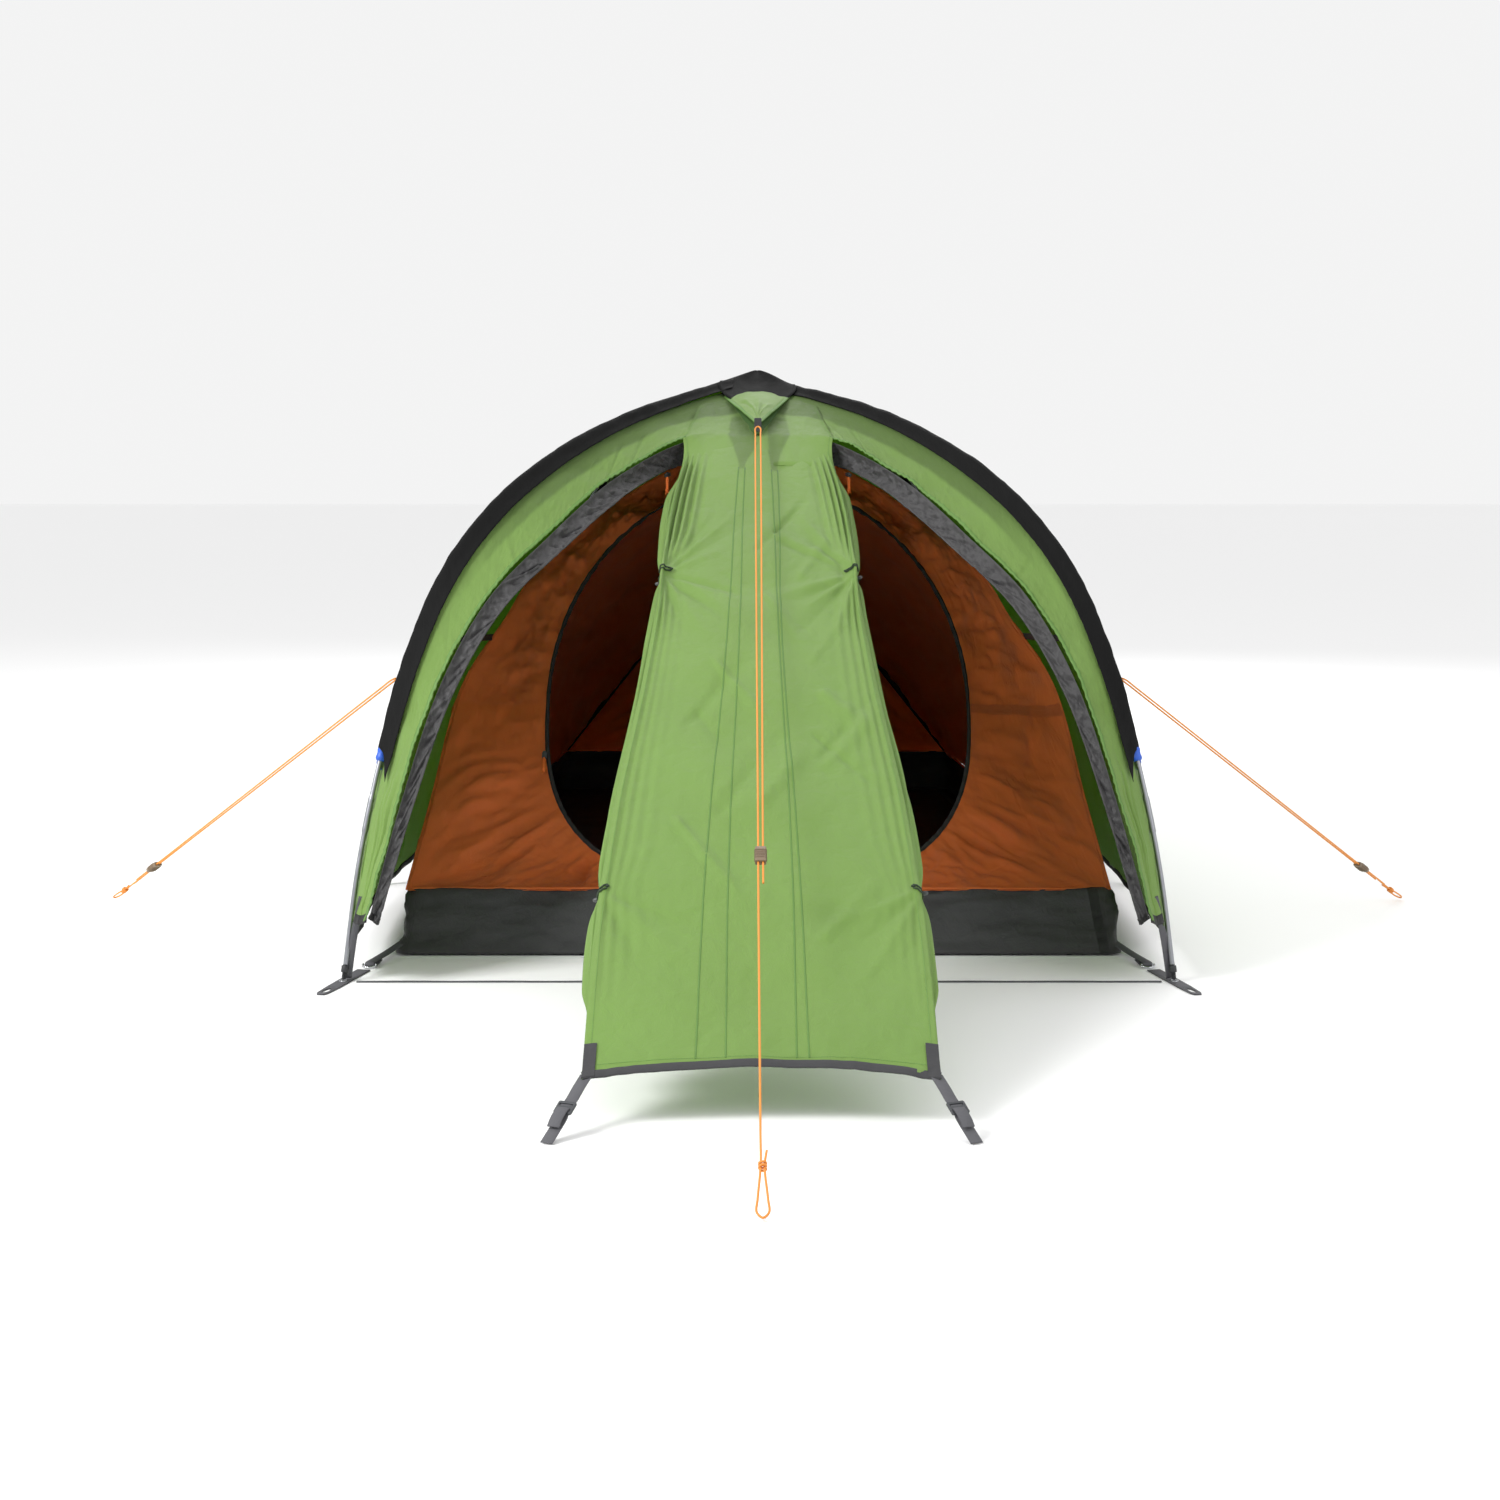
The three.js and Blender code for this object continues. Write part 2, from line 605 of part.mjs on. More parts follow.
// Porch straps, from the panel's corners through a ladder buckle to the peg loop
const porchCorner = place(240, -884, 54);
const porchPeg = place(277, -968, 1.6);
const porchWay = porchPeg.clone().sub(porchCorner);
const porchAcross = porchWay.clone().cross(point(0, 0, 1)).normalize();
for (const side of [-1, 1]) {
  const hand = side < 0 ? 'left' : 'right';
  const flip = flipTo(side);
  const across = flip(porchAcross.clone());
  const at = (share) => flip(porchCorner.clone().addScaledVector(porchWay, share));
  const out = flip(porchWay.clone()).cross(across).normalize();
  if (out.z < 0) out.negate();
  add(`porch_strap_${hand}`, strap([at(0.03), at(0.5), at(1)], 19, 2, across, 5), finish(colours.webbing));
  const plate = new THREE.Shape();
  plate.moveTo(-13, -11);
  plate.lineTo(13, -11);
  plate.lineTo(13, 11);
  plate.lineTo(-13, 11);
  plate.closePath();
  for (const offset of [-5, 5]) {
    const slot = new THREE.Path();
    slot.moveTo(-9.8, offset - 2);
    slot.lineTo(-9.8, offset + 2);
    slot.lineTo(9.8, offset + 2);
    slot.lineTo(9.8, offset - 2);
    slot.closePath();
    plate.holes.push(slot);
  }
  const buckle = new THREE.ExtrudeGeometry(plate, { depth: 4, bevelEnabled: false });
  const length = flip(porchWay.clone()).normalize();
  const third = across.clone().cross(length).normalize();
  const lift = third.z > 0 ? 1.6 : -5.6;
  const basis = new THREE.Matrix4().makeBasis(across, length, third);
  buckle.translate(0, 0, lift).applyMatrix4(basis.setPosition(at(0.42)));
  add(`porch_buckle_${hand}`, buckle, finish(colours.buckle, 0.5));
}

// ---- Guy lines: each leaves its runner, turns at the tent, comes back through the runner to a peg loop

const strandGap = 3.4; // from the middle of a guy line to each of its strands
function guy(name, anchor, peg, runnerShare, side) {
  const way = peg.clone().sub(anchor);
  const long = way.length();
  way.normalize();
  const across = way.clone().cross(point(0, 0, 1)).normalize();
  const at = (distance, offset) => anchor.clone().addScaledVector(way, distance)
    .addScaledVector(across, offset);
  const runnerAt = long * runnerShare;
  const knotAt = long * 0.958;
  const points = [
    at(runnerAt + 66, -strandGap), at(runnerAt + 20, -strandGap), at(runnerAt - 60, -strandGap),
    at(runnerAt * 0.5, -strandGap - 1), at(40, -strandGap - 1.5), at(8, -strandGap - 1), at(1.6, 0),
    at(8, strandGap + 1), at(40, strandGap + 1.5), at(runnerAt * 0.5, strandGap + 1),
    at(runnerAt - 60, strandGap), at(runnerAt + 90, strandGap), at(knotAt - 60, 2.4), at(knotAt, 2.4),
    at(long - 34, 6), at(long - 10, 7), at(long - 1.6, 0), at(long - 10, -7), at(long - 34, -6),
    at(knotAt, -2.4), at(knotAt - 26, -5),
  ];
  const route = smooth(points);
  route.getUtoTmapping = (share) => share; // the steps follow the points, so the tight turns keep their shape
  add(name, bar(route, guyRadius, 8, guySteps), finish(colours.cord));
  const outline = new THREE.Shape();
  outline.moveTo(-8, -4.5);
  outline.lineTo(8, -4.5);
  outline.lineTo(8, 4.5);
  outline.lineTo(-8, 4.5);
  outline.closePath();
  for (const offset of [-strandGap, strandGap]) {
    const hole = new THREE.Path();
    hole.absarc(offset, 0, guyRadius + 0.7, 0, Math.PI * 2, true);
    outline.holes.push(hole);
  }
  const body = new THREE.ExtrudeGeometry(outline, { depth: 34, bevelEnabled: false, curveSegments: 5 });
  body.translate(0, 0, -17);
  const third = way.clone().cross(across);
  const basis = new THREE.Matrix4().makeBasis(across, third, way).setPosition(at(runnerAt, 0));
  add(`runner_${side}`, body.applyMatrix4(basis), finish(colours.runner, 0.5));
}
guy('guy_line_front', place(0, 634, 936), place(0, -1286, 4), 0.66, 'front');
guy('guy_line_left', place(-622, 134, 502), place(-1284, 760, 4), 0.84, 'left');
guy('guy_line_right', place(622, 134, 502), place(1284, 760, 4), 0.84, 'right');

export default tent;
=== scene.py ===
import math
import random
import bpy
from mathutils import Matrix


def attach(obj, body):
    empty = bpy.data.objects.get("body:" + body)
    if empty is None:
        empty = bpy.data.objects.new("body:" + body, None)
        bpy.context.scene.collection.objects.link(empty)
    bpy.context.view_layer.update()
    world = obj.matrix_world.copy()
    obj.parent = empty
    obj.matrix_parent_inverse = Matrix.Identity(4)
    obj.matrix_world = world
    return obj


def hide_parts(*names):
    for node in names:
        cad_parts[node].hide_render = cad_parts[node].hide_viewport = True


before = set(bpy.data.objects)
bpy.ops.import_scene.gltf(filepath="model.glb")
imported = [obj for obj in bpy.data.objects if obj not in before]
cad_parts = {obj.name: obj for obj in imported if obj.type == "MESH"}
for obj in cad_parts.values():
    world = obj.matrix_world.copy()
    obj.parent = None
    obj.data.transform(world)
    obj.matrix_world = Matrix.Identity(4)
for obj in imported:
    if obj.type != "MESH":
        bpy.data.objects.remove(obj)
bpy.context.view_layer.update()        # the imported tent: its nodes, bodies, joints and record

from types import SimpleNamespace

import bmesh
import bpy
import numpy as np
from mathutils import Matrix, Vector, noise

# The tent's driving sizes, in metres. The front faces -Y, left is -X, and the floor's middle is the origin.
floorLength = 2.17
floorFrontHalf = 0.648
floorRearHalf = 0.515
footHalfFront = 0.7
footHalfRear = 0.6
footLead = 0.213  # from the floor's front edge to the front pole feet
footTrail = 0.147
apexBack = 1.0  # from the front pole feet to the crossing
apexHeight = 1.044
poleRadius = 0.00425
poleSpacing = 0.01
sleeveEndHeight = 0.385
skinGap = 0.017  # from a pole's centre to the edge of a wall
hemHeight = 0.052
sideHemReach = 0.723
sideHemBulge = 0.066
rearHemBulge = 0.075
clothThick = 0.0008

frontY = -floorLength / 2
rearY = floorLength / 2
footFrontY = frontY - footLead
footRearY = rearY + footTrail
apexY = footFrontY + apexBack
legTop = apexHeight - poleSpacing / 2
sides = {"left": -1, "right": 1}


def place(x, back, z):
    return np.array([x, footFrontY + back, z])  # back is measured from the front feet


def unit(vectors):
    vectors = np.asarray(vectors, float)
    return vectors / np.maximum(np.linalg.norm(vectors, axis=-1, keepdims=True), 1e-12)


def lerp(a, b, share):
    return a + (b - a) * share


def smoothstep(value, low, high):
    share = np.clip((value - low) / (high - low), 0, 1)
    return share * share * (3 - 2 * share)


def bump(value, middle, breadth):
    return np.exp(-(((value - middle) / breadth) ** 2))


def smoothCurve(points, perSpan=48):
    # a centripetal Catmull-Rom curve; at() goes by length, step() by the points' order
    points = np.array(points, float)
    ends = [2 * points[0] - points[1], *points, 2 * points[-1] - points[-2]]
    t = np.linspace(0, 1, perSpan, endpoint=False)[:, None]
    spans = []
    for p0, p1, p2, p3 in zip(ends, ends[1:], ends[2:], ends[3:]):
        d0, d1, d2 = (max(1e-9, np.linalg.norm(b - a)) ** 0.5 for a, b in ((p0, p1), (p1, p2), (p2, p3)))
        m1 = ((p1 - p0) / d0 - (p2 - p0) / (d0 + d1) + (p2 - p1) / d1) * d1
        m2 = ((p2 - p1) / d1 - (p3 - p1) / (d1 + d2) + (p3 - p2) / d2) * d1
        spans.append(p1 + m1 * t + (3 * (p2 - p1) - 2 * m1 - m2) * t**2 + (2 * (p1 - p2) + m1 + m2) * t**3)
    dense = np.concatenate([*spans, points[-1:]])
    run = np.concatenate([[0], np.cumsum(np.linalg.norm(np.diff(dense, axis=0), axis=1))])

    def reader(scale):
        def read(share):
            share = np.asarray(share, float)
            return np.stack([np.interp(share, scale, dense[:, k]) for k in range(3)], -1)
        return read

    return SimpleNamespace(
        at=reader(run / run[-1]), step=reader(np.linspace(0, 1, len(dense))), length=run[-1], dense=dense)


def through(points, count):
    # evenly spaced points on a smooth curve through a few
    return smoothCurve(points).at(np.linspace(0, 1, count))


# Meshes


def linked(name, data):
    made = bpy.data.objects.new(name, data)
    bpy.context.scene.collection.objects.link(made)
    return made


def baked(carrier):
    # the mesh that an object gives; the object itself is dropped
    mesh = bpy.data.meshes.new_from_object(carrier.evaluated_get(bpy.context.evaluated_depsgraph_get()))
    bpy.data.objects.remove(carrier)
    return mesh


def turnFacesOut(mesh, weld=0.0):
    work = bmesh.new()
    work.from_mesh(mesh)
    if weld:
        bmesh.ops.remove_doubles(work, verts=work.verts, dist=weld)
    bmesh.ops.recalc_face_normals(work, faces=work.faces)
    work.to_mesh(mesh)
    work.free()


def newPiece(name, verts, faces, material, uv=None, smooth=True):
    mesh = bpy.data.meshes.new(name)
    mesh.from_pydata(np.asarray(verts).tolist(), [], [list(face) for face in faces])
    if uv is not None:
        loops = np.empty(len(mesh.loops), np.int32)
        mesh.loops.foreach_get("vertex_index", loops)
        mesh.uv_layers.new(name="cut").data.foreach_set("uv", np.asarray(uv, np.float32)[loops].ravel())
    if smooth:
        mesh.shade_smooth()
    mesh.materials.append(material)
    return linked(name, mesh)


def settle(piece, slot, *nodes, body="tent"):
    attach(piece, body)
    if nodes:
        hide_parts(*nodes)
    return piece


def quads(a, b, c, d):
    return np.stack([a, b, c, d], -1).reshape(-1, 4)


def gridNormals(grid, ring=False):
    if ring:
        alongU = np.roll(grid, -1, 0) - np.roll(grid, 1, 0)
    else:
        alongU = np.gradient(grid, axis=0)
    return unit(np.cross(alongU, np.gradient(grid, axis=1)))


def shell(grid, normal, thick, ring=False):
    # both faces of a cloth and its rim; a ring closes on itself along its first way
    a, b = grid.shape[:2]
    total = a * b
    verts = np.concatenate([(grid + normal * thick / 2).reshape(-1, 3),
                            (grid - normal * thick / 2).reshape(-1, 3)])
    index = np.arange(total).reshape(a, b)
    if ring:
        index = np.concatenate([index, index[:1]])
    top = quads(index[:-1, :-1], index[1:, :-1], index[1:, 1:], index[:-1, 1:])
    if ring:
        edges = [(index[:-1, 0], index[1:, 0]), (index[1:, -1], index[:-1, -1])]
    else:
        loop = np.concatenate([index[:, 0], index[-1, 1:], index[-2::-1, -1], index[0, -2:0:-1]])
        edges = [(loop, np.roll(loop, -1))]
    rims = [quads(after, here, here + total, after + total) for here, after in edges]
    return verts, np.concatenate([top, (top + total)[:, ::-1], *rims]).tolist()


def gridArea(grid, ring=False):
    grid = np.concatenate([grid, grid[:1]]) if ring else grid
    a, b = grid[1:, 1:] - grid[:-1, :-1], grid[1:, :-1] - grid[:-1, 1:]
    return np.linalg.norm(np.cross(a, b), axis=2).sum() / 2


def clothGrid(surface, across, along, ring=False):
    u = np.linspace(0, 1, across + 1)
    u, v = np.meshgrid(u[:-1] if ring else u, np.linspace(0, 1, along + 1), indexing="ij")
    return u, v, surface(u, v)


def cloth(name, surface, across, along, material, wrinkle=None, thick=clothThick, ring=False, flat=None):
    # a piece on a surface(u, v), creased by wrinkle(u, v, width, length, grid) along its normal
    u, v, grid = clothGrid(surface, across, along, ring)
    normal = gridNormals(grid, ring)
    stepU = np.linalg.norm(np.diff(grid, axis=0), axis=2)
    stepV = np.linalg.norm(np.diff(grid, axis=1), axis=2)
    width, length = stepU.sum(0).max(), stepV.sum(1).max()
    area = gridArea(grid, ring)
    if wrinkle is not None:
        grid = grid + normal * wrinkle(u, v, width, length, grid)[..., None]
        normal = gridNormals(grid, ring)
    verts, faces = shell(grid, normal, thick, ring)
    uv = np.stack([(u - 0.5) * stepU.sum(0)[None, :], v * length], -1).reshape(-1, 2)
    piece = newPiece(name, verts, faces, material, np.concatenate([uv, uv]))
    width, length = flat or (width, length)
    return SimpleNamespace(piece=piece, grid=grid, normal=normal, flat=(width, length), area=area)


def onCloth(made, u, v, lift=0.0):
    # points on a finished cloth, lifted off its face
    a, b = made.grid.shape[:2]
    u, v = np.broadcast_arrays(np.asarray(u, float), np.asarray(v, float))
    x, y = np.clip(u, 0, 1) * (a - 1), np.clip(v, 0, 1) * (b - 1)
    i, j = np.minimum(x.astype(int), a - 2), np.minimum(y.astype(int), b - 2)
    fx, fy = (x - i)[..., None], (y - j)[..., None]

    def mix(g):
        low = g[i, j] * (1 - fx) + g[i + 1, j] * fx
        return low * (1 - fy) + (g[i, j + 1] * (1 - fx) + g[i + 1, j + 1] * fx) * fy

    return mix(made.grid) + mix(made.normal) * lift


def normalOn(made, u, v):
    return unit(onCloth(made, u, v, 1.0) - onCloth(made, u, v))


def declareSheet(made, held, restsOn, slot, *nodes, withPieces=()):
    settle(made.piece, slot, *nodes)
    width, length = (float(size) for size in made.flat)
    width = round(min(width, made.area / (0.31 * length)), 3)  # a tapering cut nests with its neighbour
    length = round(length, 3)
    area = round(float(min(made.area, width * length)), 4)


def loftMesh(path, side, up, section, scale=None, closed=False):
    # a closed outline carried along a path; side x up points along the path
    path, section = np.asarray(path, float), np.asarray(section, float)
    count, corners = len(path), len(section)
    scale = np.ones(count) if scale is None else np.asarray(scale, float)
    rings = (path[:, None] + side[:, None] * section[None, :, :1] * scale[:, None, None]
             + up[:, None] * section[None, :, 1:] * scale[:, None, None])
    index = np.arange(count * corners).reshape(count, corners)
    if closed:
        index = np.concatenate([index, index[:1]])
    around = np.concatenate([index, index[:, :1]], 1)
    faces = quads(around[:-1, :-1], around[:-1, 1:], around[1:, 1:], around[1:, :-1]).tolist()
    if not closed:
        faces += [index[0, ::-1].tolist(), index[-1].tolist()]
    run = np.concatenate([[0], np.cumsum(np.linalg.norm(np.diff(path, axis=0), axis=1))])
    edge = np.concatenate([[0], np.cumsum(np.linalg.norm(np.diff(section, axis=0), axis=1))])
    uv = np.stack(np.broadcast_arrays(edge[None, :], run[:, None]), -1).reshape(-1, 2)
    return rings.reshape(-1, 3), faces, uv


def frameAlong(path, hint, closed=False):
    # the two ways across a path at each of its points; the first leans towards the hint
    hint = np.asarray(hint, float)
    if closed:
        along = unit(np.roll(path, -1, 0) - np.roll(path, 1, 0))
    else:
        along = unit(np.gradient(path, axis=0))
    side = unit(hint - (hint * along).sum(-1, keepdims=True) * along)
    return side, np.cross(along, side)


def steadyHint(path):
    # a side way that turns as little as it can along a path
    along = unit(np.gradient(path, axis=0))
    hint = np.cross(along[0], (0, 0, 1) if abs(along[0][2]) < 0.9 else (0, 1, 0))
    hints = []
    for way in along:
        hint = unit(hint - hint.dot(way) * way)
        hints.append(hint)
    return np.array(hints)


def circle(radius, count):
    turn = np.linspace(0, 2 * math.pi, count, endpoint=False)
    return np.stack([radius * np.cos(turn), radius * np.sin(turn)], -1)


def strapSection(width, thick):
    w, t = width / 2, thick / 2
    half = [(w, -t * 0.5), (w, t * 0.5), (w - t * 0.5, t), (0, t * 1.04), (-w + t * 0.5, t)]
    return np.array([*half, *((-x, -y) for x, y in half)])


def tube(name, path, radius, material, count=12, closed=False):
    # radius is one number, or one for each point of the path
    path = np.asarray(path, float)
    if closed:
        side, up = frameAlong(path, unit(np.cross(path[0] - path[len(path) // 3], path[1] - path[0])), True)
    else:
        side, up = frameAlong(path, steadyHint(path))
    scale = np.broadcast_to(np.asarray(radius, float), (len(path),))
    verts, faces, uv = loftMesh(path, side, up, circle(1, count), scale, closed)
    uv[:, 0] *= scale.max()
    return newPiece(name, verts, faces, material, uv)


def strap(name, path, width, thick, hint, material, closed=False):
    # webbing along a path; hint is the way its width runs
    path = np.asarray(path, float)
    side, up = frameAlong(path, hint, closed)
    verts, faces, uv = loftMesh(path, side, up, strapSection(width, thick), None, closed)
    return newPiece(name, verts, faces, material, uv)


def rolledCloth(name, path, hint, radius, corners, scale, lobesAt, material):
    # gathered cloth; lobesAt(turn) gives the lobes as shares of the radius
    side, up = frameAlong(path, hint)
    verts, faces, uv = loftMesh(path, side, up, circle(radius, corners), scale)
    turn = np.linspace(0, 2 * math.pi, corners, endpoint=False)[None, :]
    fromPath = verts.reshape(len(path), corners, 3) - path[:, None]
    verts = path[:, None] + fromPath * (1 + lobesAt(turn)[..., None])
    return newPiece(name, verts.reshape(-1, 3), faces, material, uv)


def ringAt(spot, x, y, reachX, reachY, count):
    turn = np.linspace(0, 2 * math.pi, count, endpoint=False)
    return spot + np.outer(np.cos(turn) * reachX, x) + np.outer(np.sin(turn) * reachY, y)


def coilAt(spot, x, y, way, reachX, reachY, rise, turns, count):
    turn = np.linspace(0, 2 * math.pi * turns, count)
    across = np.outer(np.cos(turn) * reachX, x) + np.outer(np.sin(turn) * reachY, y)
    return spot + across + np.outer(np.linspace(-rise, rise, count), way)


def joined(name, pieces, material=None):
    # several meshes as one piece
    verts, faces, uvs, base = [], [], [], 0
    for piece in pieces:
        mesh = piece.data
        co = np.empty(len(mesh.vertices) * 3)
        mesh.vertices.foreach_get("co", co)
        verts.append(co.reshape(-1, 3))
        faces += [[base + k for k in face.vertices] for face in mesh.polygons]
        flat = np.zeros(len(mesh.loops) * 2, np.float32)
        if mesh.uv_layers:
            mesh.uv_layers[0].data.foreach_get("uv", flat)
        uvs.append(flat)
        base += len(mesh.vertices)
        material = material or mesh.materials[0]
        bpy.data.objects.remove(piece)
    made = newPiece(name, np.concatenate(verts), faces, material)
    made.data.uv_layers.new(name="cut").data.foreach_set("uv", np.concatenate(uvs))
    return made


def basis(x, y, z, spot):
    rows = np.array([x, y, z, spot], float).T
    return Matrix([*rows.tolist(), [0, 0, 0, 1]])


def cutPlate(name, outlines, depth, soften, matrix, material):
    # a plate cut to an outline, the first, with holes, the others; its edges are softened
    curve = bpy.data.curves.new(name + "_cut", "CURVE")
    curve.dimensions = "2D"
    curve.fill_mode = "BOTH"
    curve.extrude = depth / 2 - soften
    curve.bevel_depth = soften
    curve.bevel_resolution = 2
    curve.offset = -soften
    for outline in outlines:
        outline = np.asarray(outline, float)
        spline = curve.splines.new("POLY")
        spline.points.add(len(outline) - 1)
        for point, (x, y) in zip(spline.points, outline):
            point.co = (x, y, 0, 1)
        spline.use_cyclic_u = True
    mesh = baked(linked(name + "_carrier", curve))
    turnFacesOut(mesh, 2e-6)
    mesh.transform(matrix)
    mesh.name = name
    mesh.materials.clear()
    mesh.materials.append(material)
    return linked(name, mesh)


def roundedBox(halfX, halfY, radius, perCorner=4):
    points = []
    for k, (cx, cy) in enumerate(((1, 1), (-1, 1), (-1, -1), (1, -1))):
        for step in range(perCorner + 1):
            turn = (k + step / perCorner) * math.pi / 2
            points.append((cx * (halfX - radius) + radius * math.cos(turn),
                           cy * (halfY - radius) + radius * math.sin(turn)))
    return np.array(points)


# Creases


def foldLines(u, v, width, length, folds):
    # each fold is (x0, y0, x1, y1, breadth, rise) in metres on the cut, and dies away towards its end
    x, y = (u - 0.5) * width, v * length
    height = np.zeros_like(x)
    for x0, y0, x1, y1, breadth, rise in folds:
        dx, dy = x1 - x0, y1 - y0
        reach = math.hypot(dx, dy)
        share = ((x - x0) * dx + (y - y0) * dy) / reach**2
        off = ((x - x0) * dy - (y - y0) * dx) / reach
        fade = smoothstep(share, -0.04, 0.1) * (1 - smoothstep(share, 0.5, 1.05))
        height += rise * fade * np.exp(-((off / (breadth * (0.4 + 0.6 * np.clip(share, 0, 1)))) ** 2))
    return height


def fanOf(rng, spot, heading, spread, count, reach, breadth, rise):
    # folds that spread from a pulled spot; heading and spread are in degrees
    folds = []
    for k in range(count):
        turn = math.radians(heading + spread * ((k + 0.5) / count - 0.5) + rng.uniform(-3, 3))
        far = reach * rng.uniform(0.6, 1.1)
        end = (spot[0] + far * math.cos(turn), spot[1] + far * math.sin(turn))
        folds.append((*spot, *end, breadth * rng.uniform(0.7, 1.3), rise * rng.uniform(0.5, 1.1) * (-1) ** k))
    return folds


def roughen(places, scale, depth, octaves=3, ridged=False):
    # a fractal of the places, each way scaled by its own number
    flat = (places * np.asarray(scale, float)).reshape(-1, 3)
    values = np.array([noise.fractal(Vector(spot), 0.8, 2.1, octaves) for spot in flat.tolist()])
    if ridged:
        values = 0.5 - np.abs(values)
    return depth * values.reshape(places.shape[:-1])


# Finishes


def tone(red, green, blue):
    # a screen colour as the linear one that a shader takes
    return tuple(((c / 255 + 0.055) / 1.055) ** 2.4 if c > 10 else c / 255 / 12.92
                 for c in (red, green, blue)) + (1,)


def newGroup(name, inputs, outputs):
    tree = bpy.data.node_groups.new(name, "ShaderNodeTree")
    for label, kind, value in inputs:
        tree.interface.new_socket(label, in_out="INPUT", socket_type=kind).default_value = value
    for label, kind in outputs:
        tree.interface.new_socket(label, in_out="OUTPUT", socket_type=kind)
    return tree, tree.nodes.new("NodeGroupInput"), tree.nodes.new("NodeGroupOutput")


def wire(tree):
    def node(kind, inputs=(), **settings):
        made = tree.nodes.new(kind)
        for key, value in settings.items():
            setattr(made, key, value)
        for socket, value in dict(inputs).items():
            if isinstance(value, bpy.types.NodeSocket):
                tree.links.new(value, made.inputs[socket])
            else:
                made.inputs[socket].default_value = value
        return made

    return node


def mathsFor(node):
    def maths(operation, *values):
        return node("ShaderNodeMath", dict(enumerate(values)), operation=operation).outputs[0]

    return maths


# one of these sets how far painted shade darkens a cloth where a mesh marks it
weave = {
    "threadShade": 0.035, "threadHeight": 0.06, "paintedShadeDepth": -0.42, "patchScale": 4.0, "creaseGloss": 0.16,
}


def makeWeaveGroup():
    # woven cloth: threads over and under, small creases and a patchy tone, on the cloth's own cut; where a
    # mesh marks it, painted shade darkens its colour
    tree, start, end = newGroup(
        "wovenCloth",
        [("Colour", "NodeSocketColor", (0.5, 0.5, 0.5, 1)), ("Threads", "NodeSocketFloat", 900.0),
         ("Creases", "NodeSocketFloat", 30.0), ("Patchiness", "NodeSocketFloat", 0.12),
         ("Rough", "NodeSocketFloat", 0.6)],
        [("Colour", "NodeSocketColor"), ("Roughness", "NodeSocketFloat"), ("Height", "NodeSocketFloat")])
    node = wire(tree)
    maths = mathsFor(node)
    given = start.outputs
    cut = node("ShaderNodeTexCoord").outputs["UV"]
    apart = node("ShaderNodeSeparateXYZ", {0: cut}).outputs
    over, under = (maths("SINE", maths("MULTIPLY", apart[way], given["Threads"])) for way in ("X", "Y"))
    threads = maths("MULTIPLY", over, under)
    crease = node("ShaderNodeTexNoise", {"Vector": cut, "Scale": given["Creases"], "Detail": 4.0,
                                         "Roughness": 0.55, "Distortion": 0.4}).outputs["Fac"]
    patch = node("ShaderNodeTexNoise", {"Vector": cut, "Scale": weave["patchScale"],
                                        "Detail": 3.0}).outputs["Fac"]
    mottled = maths("MULTIPLY_ADD", maths("SUBTRACT", patch, 0.5), given["Patchiness"], 1.0)
    shaded = maths("MULTIPLY_ADD", threads, weave["threadShade"], mottled)
    # painted shade: where a mesh marks it, the colour is darkened
    layer = node("ShaderNodeAttribute", attribute_name="layer").outputs["Fac"]
    value = maths("MULTIPLY", shaded, maths("MULTIPLY_ADD", layer, weave["paintedShadeDepth"], 1.0))
    colour = node("ShaderNodeHueSaturation", {"Color": given["Colour"], "Value": value}).outputs[0]
    gloss = maths("MULTIPLY_ADD", crease, weave["creaseGloss"], -weave["creaseGloss"] / 2)
    rough = maths("ADD", gloss, given["Rough"])
    height = maths("MULTIPLY_ADD", threads, weave["threadHeight"], crease)
    for label, socket in (("Colour", colour), ("Roughness", rough), ("Height", height)):
        tree.links.new(socket, end.inputs[label])
    return tree


mould = {"smearScale": 60.0, "smearGloss": 0.35}


def makeMouldGroup():
    # moulded or metal surface: a fine grain and a patchy gloss, on the object's own places
    tree, start, end = newGroup(
        "fineGrain",
        [("Colour", "NodeSocketColor", (0.5, 0.5, 0.5, 1)), ("Grain", "NodeSocketFloat", 900.0),
         ("Wear", "NodeSocketFloat", 0.2), ("Rough", "NodeSocketFloat", 0.4)],
        [("Colour", "NodeSocketColor"), ("Roughness", "NodeSocketFloat"), ("Height", "NodeSocketFloat")])
    node = wire(tree)
    maths = mathsFor(node)
    given = start.outputs
    spot = node("ShaderNodeTexCoord").outputs["Object"]
    grain = node("ShaderNodeTexNoise", {"Vector": spot, "Scale": given["Grain"],
                                        "Detail": 3.0}).outputs["Fac"]
    smear = node("ShaderNodeTexNoise", {"Vector": spot, "Scale": mould["smearScale"],
                                        "Detail": 4.0}).outputs["Fac"]
    centred = maths("SUBTRACT", smear, 0.5)
    value = maths("MULTIPLY_ADD", centred, given["Wear"], 1.0)
    colour = node("ShaderNodeHueSaturation", {"Color": given["Colour"], "Value": value}).outputs[0]
    rough = maths("MULTIPLY_ADD", centred, mould["smearGloss"], given["Rough"])
    for label, socket in (("Colour", colour), ("Roughness", rough), ("Height", grain)):
        tree.links.new(socket, end.inputs[label])
    return tree


weaveGroup = makeWeaveGroup()
mouldGroup = makeMouldGroup()


